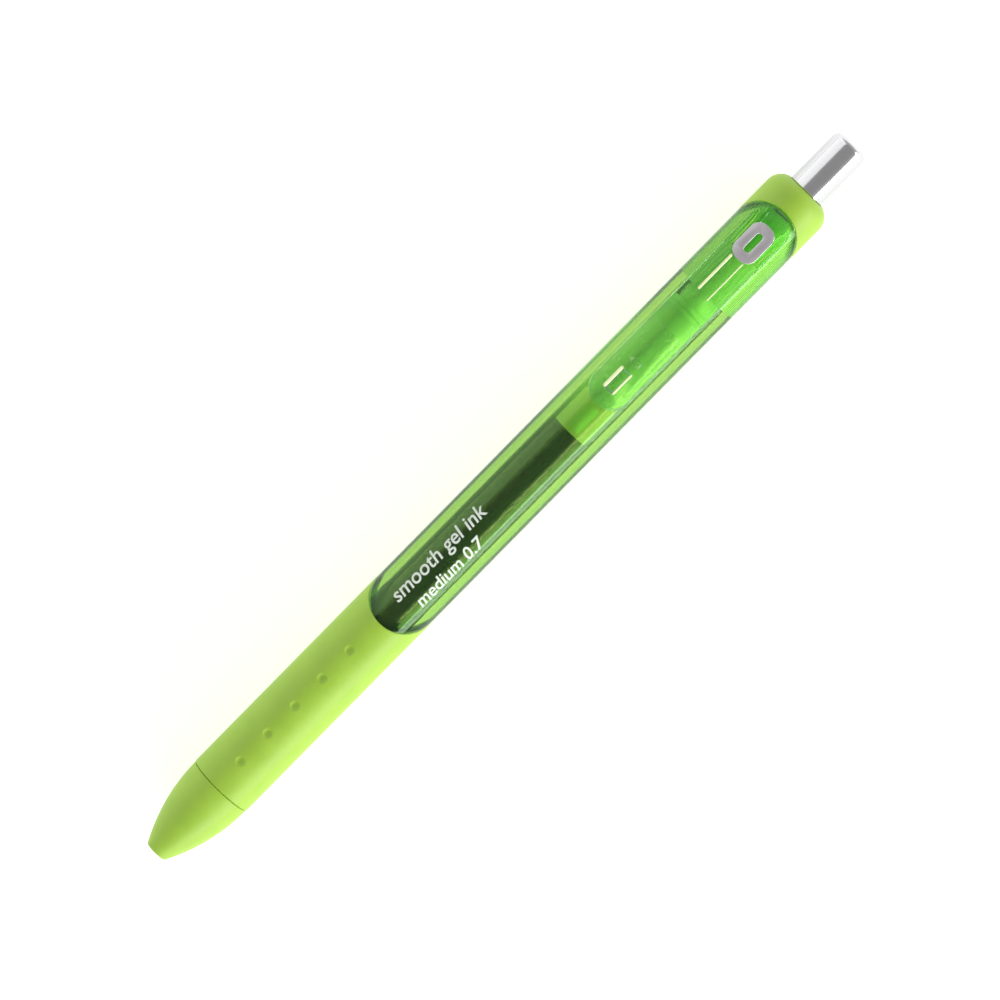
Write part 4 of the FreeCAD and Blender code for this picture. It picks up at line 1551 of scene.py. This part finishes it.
@dataclass
class Clip:
    """Sprung clip and the plate in its head."""

    finishes: Finishes
    bend_start: float = 8.3 * MM
    bend_end: float = 24.0 * MM
    arm_drop: float = 0.6 * MM
    # Slim raised ridges in the pale finish: painted highlights along the nub's sides and the
    # groove's edges, on shapes that also catch the lamps.
    ridges: tuple[tuple[str, float, float, float, float], ...] = (
        ("nub_highlight_left", 2.75, 6.75, 0.95, 0.26),
        ("nub_highlight_right", 2.75, 6.75, -0.85, 0.16),
        ("groove_highlight_left", 22.4, 29.4, 1.08, 0.2),
        ("groove_highlight_right", 22.0, 29.4, -1.06, 0.1),
    )
    mark: tuple[float, float] = (8.4, 0.52)
    mark_bar: float = 0.09
    mark_stretch: float = 1.7
    mark_steps: int = 40
    mark_sides: int = 12
    flatness: float = 0.5
    bar_sides: int = 16
    cap_steps: int = 6

    def top(self, x: float) -> float:
        """Height of the arm's upper face.

        Args:
            x: place along the pen.

        Returns:
            The height.
        """
        low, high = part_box("clip")
        root = high.x - self.bend_start
        share = (root - x) / (root - low.x)
        return high.z - self.arm_drop * min(1.0, max(0.0, share))

    def build_ridge(
        self,
        name: str,
        start: float,
        end: float,
        across: float,
        radius: float,
    ) -> bpy.types.Object:
        """Makes one slim rounded ridge on the arm. Its pale finish paints a highlight line, and its
        raised shape also catches the lamps.

        Args:
            name: the piece's name.
            start: millimetres from the free end.
            end: millimetres from the free end.
            across: millimetres towards +Y.
            radius: millimetres.

        Returns:
            The ridge.
        """
        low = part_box("clip")[0]
        caps = [i / self.cap_steps * math.pi / 2 for i in range(self.cap_steps + 1)]
        reach = end - start
        rings = [(radius * (1 - math.cos(a)), radius * math.sin(a)) for a in caps]
        rings += [(reach - u, r) for u, r in reversed(rings)]
        sides = self.bar_sides
        points = []
        for u, r in rings:
            x = low.x + (start + u) * MM
            for k in range(sides):
                angle = TURN * k / sides
                height = self.flatness * r * math.cos(angle) * MM + self.top(x)
                points.append((x, across * MM + r * math.sin(angle) * MM, height))
        faces = []
        for i in range(len(rings) - 1):
            faces += strip(i * sides, (i + 1) * sides, sides, True)
        return mesh_object(name, points, faces, self.finishes.highlight_glaze, 50.0)

    def build_mark(self) -> bpy.types.Object:
        """Makes the small ring moulded on the arm."""
        place, radius = self.mark
        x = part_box("clip")[0].x + place * MM
        around, sides = self.mark_steps, self.mark_sides
        points = []
        for i in range(around):
            turn = TURN * i / around
            for k in range(sides):
                angle = TURN * k / sides
                r = (radius + self.mark_bar * math.cos(angle)) * MM
                up = self.top(x) + self.flatness * self.mark_bar * math.sin(angle) * MM
                points.append((x + r * math.cos(turn), self.mark_stretch * r * math.sin(turn), up))
        faces = []
        for i in range(around):
            for k in range(sides):
                a = i * sides
                b = (i + 1) % around * sides
                n = (k + 1) % sides
                faces.append((a + k, b + k, b + n, a + n))
        return mesh_object("arm_mark", points, faces, self.finishes.clip, 50.0)

    def dress(self) -> None:
        """Makes the clip, its badge, the ridges and the mark on the arm."""
        low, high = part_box("clip")
        clip = polished("pocket_clip", "clip", self.finishes.clip, 0.07 * MM)
        badge = polished("head_badge", "clip_badge", self.finishes.badge, 0.06 * MM)
        for piece, slot in ((clip, "clear_green_plastic"), (badge, "badge_metal")):
            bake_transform(piece)
            faces = len(piece.data.polygons)
            LOG.info("%s bends between barrel and clip: %d faces", piece.name, faces)
        for ridge in self.ridges:
            piece = self.build_ridge(*ridge)
            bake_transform(piece)
        keep(self.build_mark(), "clip", "clear_green_plastic")


# ---- studio ------------------------------------------------------------------------------------

@dataclass
class Studio:
    """Floor, lights and camera."""

    tilt: float = math.radians(5.0)
    lean: float = math.radians(1.4)
    slant: float = math.radians(45.43)
    lens: float = 250.0
    sensor: float = 36.0
    view_width: float = 146.2 * MM
    aim_right: float = 0.416 * MM
    aim_up: float = 0.085 * MM
    light_distance: float = 0.5
    near: float = 0.05
    far: float = 20.0
    floor_half: float = 3.0
    sky: tuple[tuple[float, float], ...] = ((0.15, 0.58), (0.75, 0.34))
    panels: tuple[tuple[str, float, float, Point, float], ...] = (
        ("key_panel", -1.0, 71.0, (1.2, 0.20), 5.9),
        ("fill_panel", 1.0, 58.0, (1.2, 0.57), 0.85),
    )
    bounces: int = 20

    def camera(self) -> None:
        """Camera over the pen, leaning towards the button."""
        low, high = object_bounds()
        middle = Vector(((low.x + high.x) / 2, 0.0, AXIS_Z))
        rolled = Matrix.Rotation(self.lean, 3, "X")
        back = rolled @ Vector((math.sin(self.tilt), 0.0, math.cos(self.tilt)))
        along = rolled @ Vector((math.cos(self.tilt), 0.0, -math.sin(self.tilt)))
        side = back.cross(along)
        right = along * math.cos(self.slant) - side * math.sin(self.slant)
        up = along * math.sin(self.slant) + side * math.cos(self.slant)
        data = bpy.data.cameras.new("camera")
        data.lens = self.lens
        data.sensor_width = self.sensor
        data.clip_start = self.near
        data.clip_end = self.far
        distance = self.view_width * self.lens / self.sensor
        camera = bpy.data.objects.new("camera", data)
        turned = Matrix((right, up, back)).transposed().to_4x4()
        aim = middle - right * self.aim_right - up * self.aim_up
        camera.matrix_world = Matrix.Translation(aim + back * distance) @ turned
        bpy.context.scene.collection.objects.link(camera)
        bpy.context.scene.camera = camera

    def panel(self, name: str, side: float, zenith: float, size: Point, radiance: float) -> None:
        """Adds one soft panel.

        Args:
            name: the light's name.
            side: +1 for the +Y side, -1 for the -Y side.
            zenith: degrees from straight up.
            size: length along the pen and height.
            radiance: its brightness.
        """
        data = bpy.data.lights.new(name, "AREA")
        data.shape = "RECTANGLE"
        data.size, data.size_y = size
        data.energy = radiance * math.pi * size[0] * size[1]
        light = bpy.data.objects.new(name, data)
        angle = math.radians(zenith)
        spot = Vector((0.0, side * math.sin(angle), math.cos(angle))) * self.light_distance
        facing = spot.normalized()
        level = Vector((1.0, 0.0, 0.0))
        turned = Matrix((level, facing.cross(level), facing)).transposed().to_4x4()
        light.matrix_world = Matrix.Translation(spot + Vector((0.0, 0.0, AXIS_Z))) @ turned
        bpy.context.scene.collection.objects.link(light)

    def world(self) -> None:
        """Soft light from all round, dimmer overhead."""
        world = bpy.data.worlds.new("soft_room")
        bpy.context.scene.world = world
        world.use_nodes = True
        tree = world.node_tree
        tree.nodes.clear()
        place = tree.nodes.new("ShaderNodeTexCoord")
        parts = tree.nodes.new("ShaderNodeSeparateXYZ")
        ramp = tree.nodes.new("ShaderNodeValToRGB")
        for stop, (position, grey) in zip(ramp.color_ramp.elements, self.sky):
            stop.position = position
            stop.color = (grey, grey, grey, 1.0)
        sky = tree.nodes.new("ShaderNodeBackground")
        output = tree.nodes.new("ShaderNodeOutputWorld")
        tree.links.new(place.outputs["Generated"], parts.inputs[0])
        tree.links.new(parts.outputs["Z"], ramp.inputs[0])
        tree.links.new(ramp.outputs[0], sky.inputs["Color"])
        tree.links.new(sky.outputs[0], output.inputs[0])

    def floor(self) -> None:
        """Pale floor under the pen."""
        half = self.floor_half
        corners = [(-half, -half, 0.0), (half, -half, 0.0), (half, half, 0.0), (-half, half, 0.0)]
        mesh = bpy.data.meshes.new("floor")
        mesh.from_pydata(corners, [], [(0, 1, 2, 3)])
        mesh.materials.append(Paper().material())
        floor = bpy.data.objects.new("floor", mesh)
        bpy.context.scene.collection.objects.link(floor)
        floor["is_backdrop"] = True

    def build(self) -> None:
        """Sets the whole studio."""
        self.camera()
        self.floor()
        self.world()
        for panel in self.panels:
            self.panel(*panel)
        scene = bpy.context.scene
        scene.view_settings.view_transform = "Standard"
        scene.cycles.max_bounces = self.bounces
        scene.cycles.transmission_bounces = self.bounces
        scene.cycles.transparent_max_bounces = 2 * self.bounces


def main() -> None:
    """Builds the pen, sub-assembly by sub-assembly, and its studio."""
    logging.basicConfig(level=logging.INFO, format="%(name)s: %(message)s")
    Studio().build()
    finishes = Finishes()
    coils = CoilMaker()
    body = Body(finishes, coils)
    body.dress()
    Print(finishes, body.window.radius - body.barrel_sunk, body.window.start).dress()
    Nose(finishes).dress()
    Refill(finishes, coils).dress()
    Click(finishes).dress()
    Clip(finishes).dress()


if __name__ == "__main__":
    main()
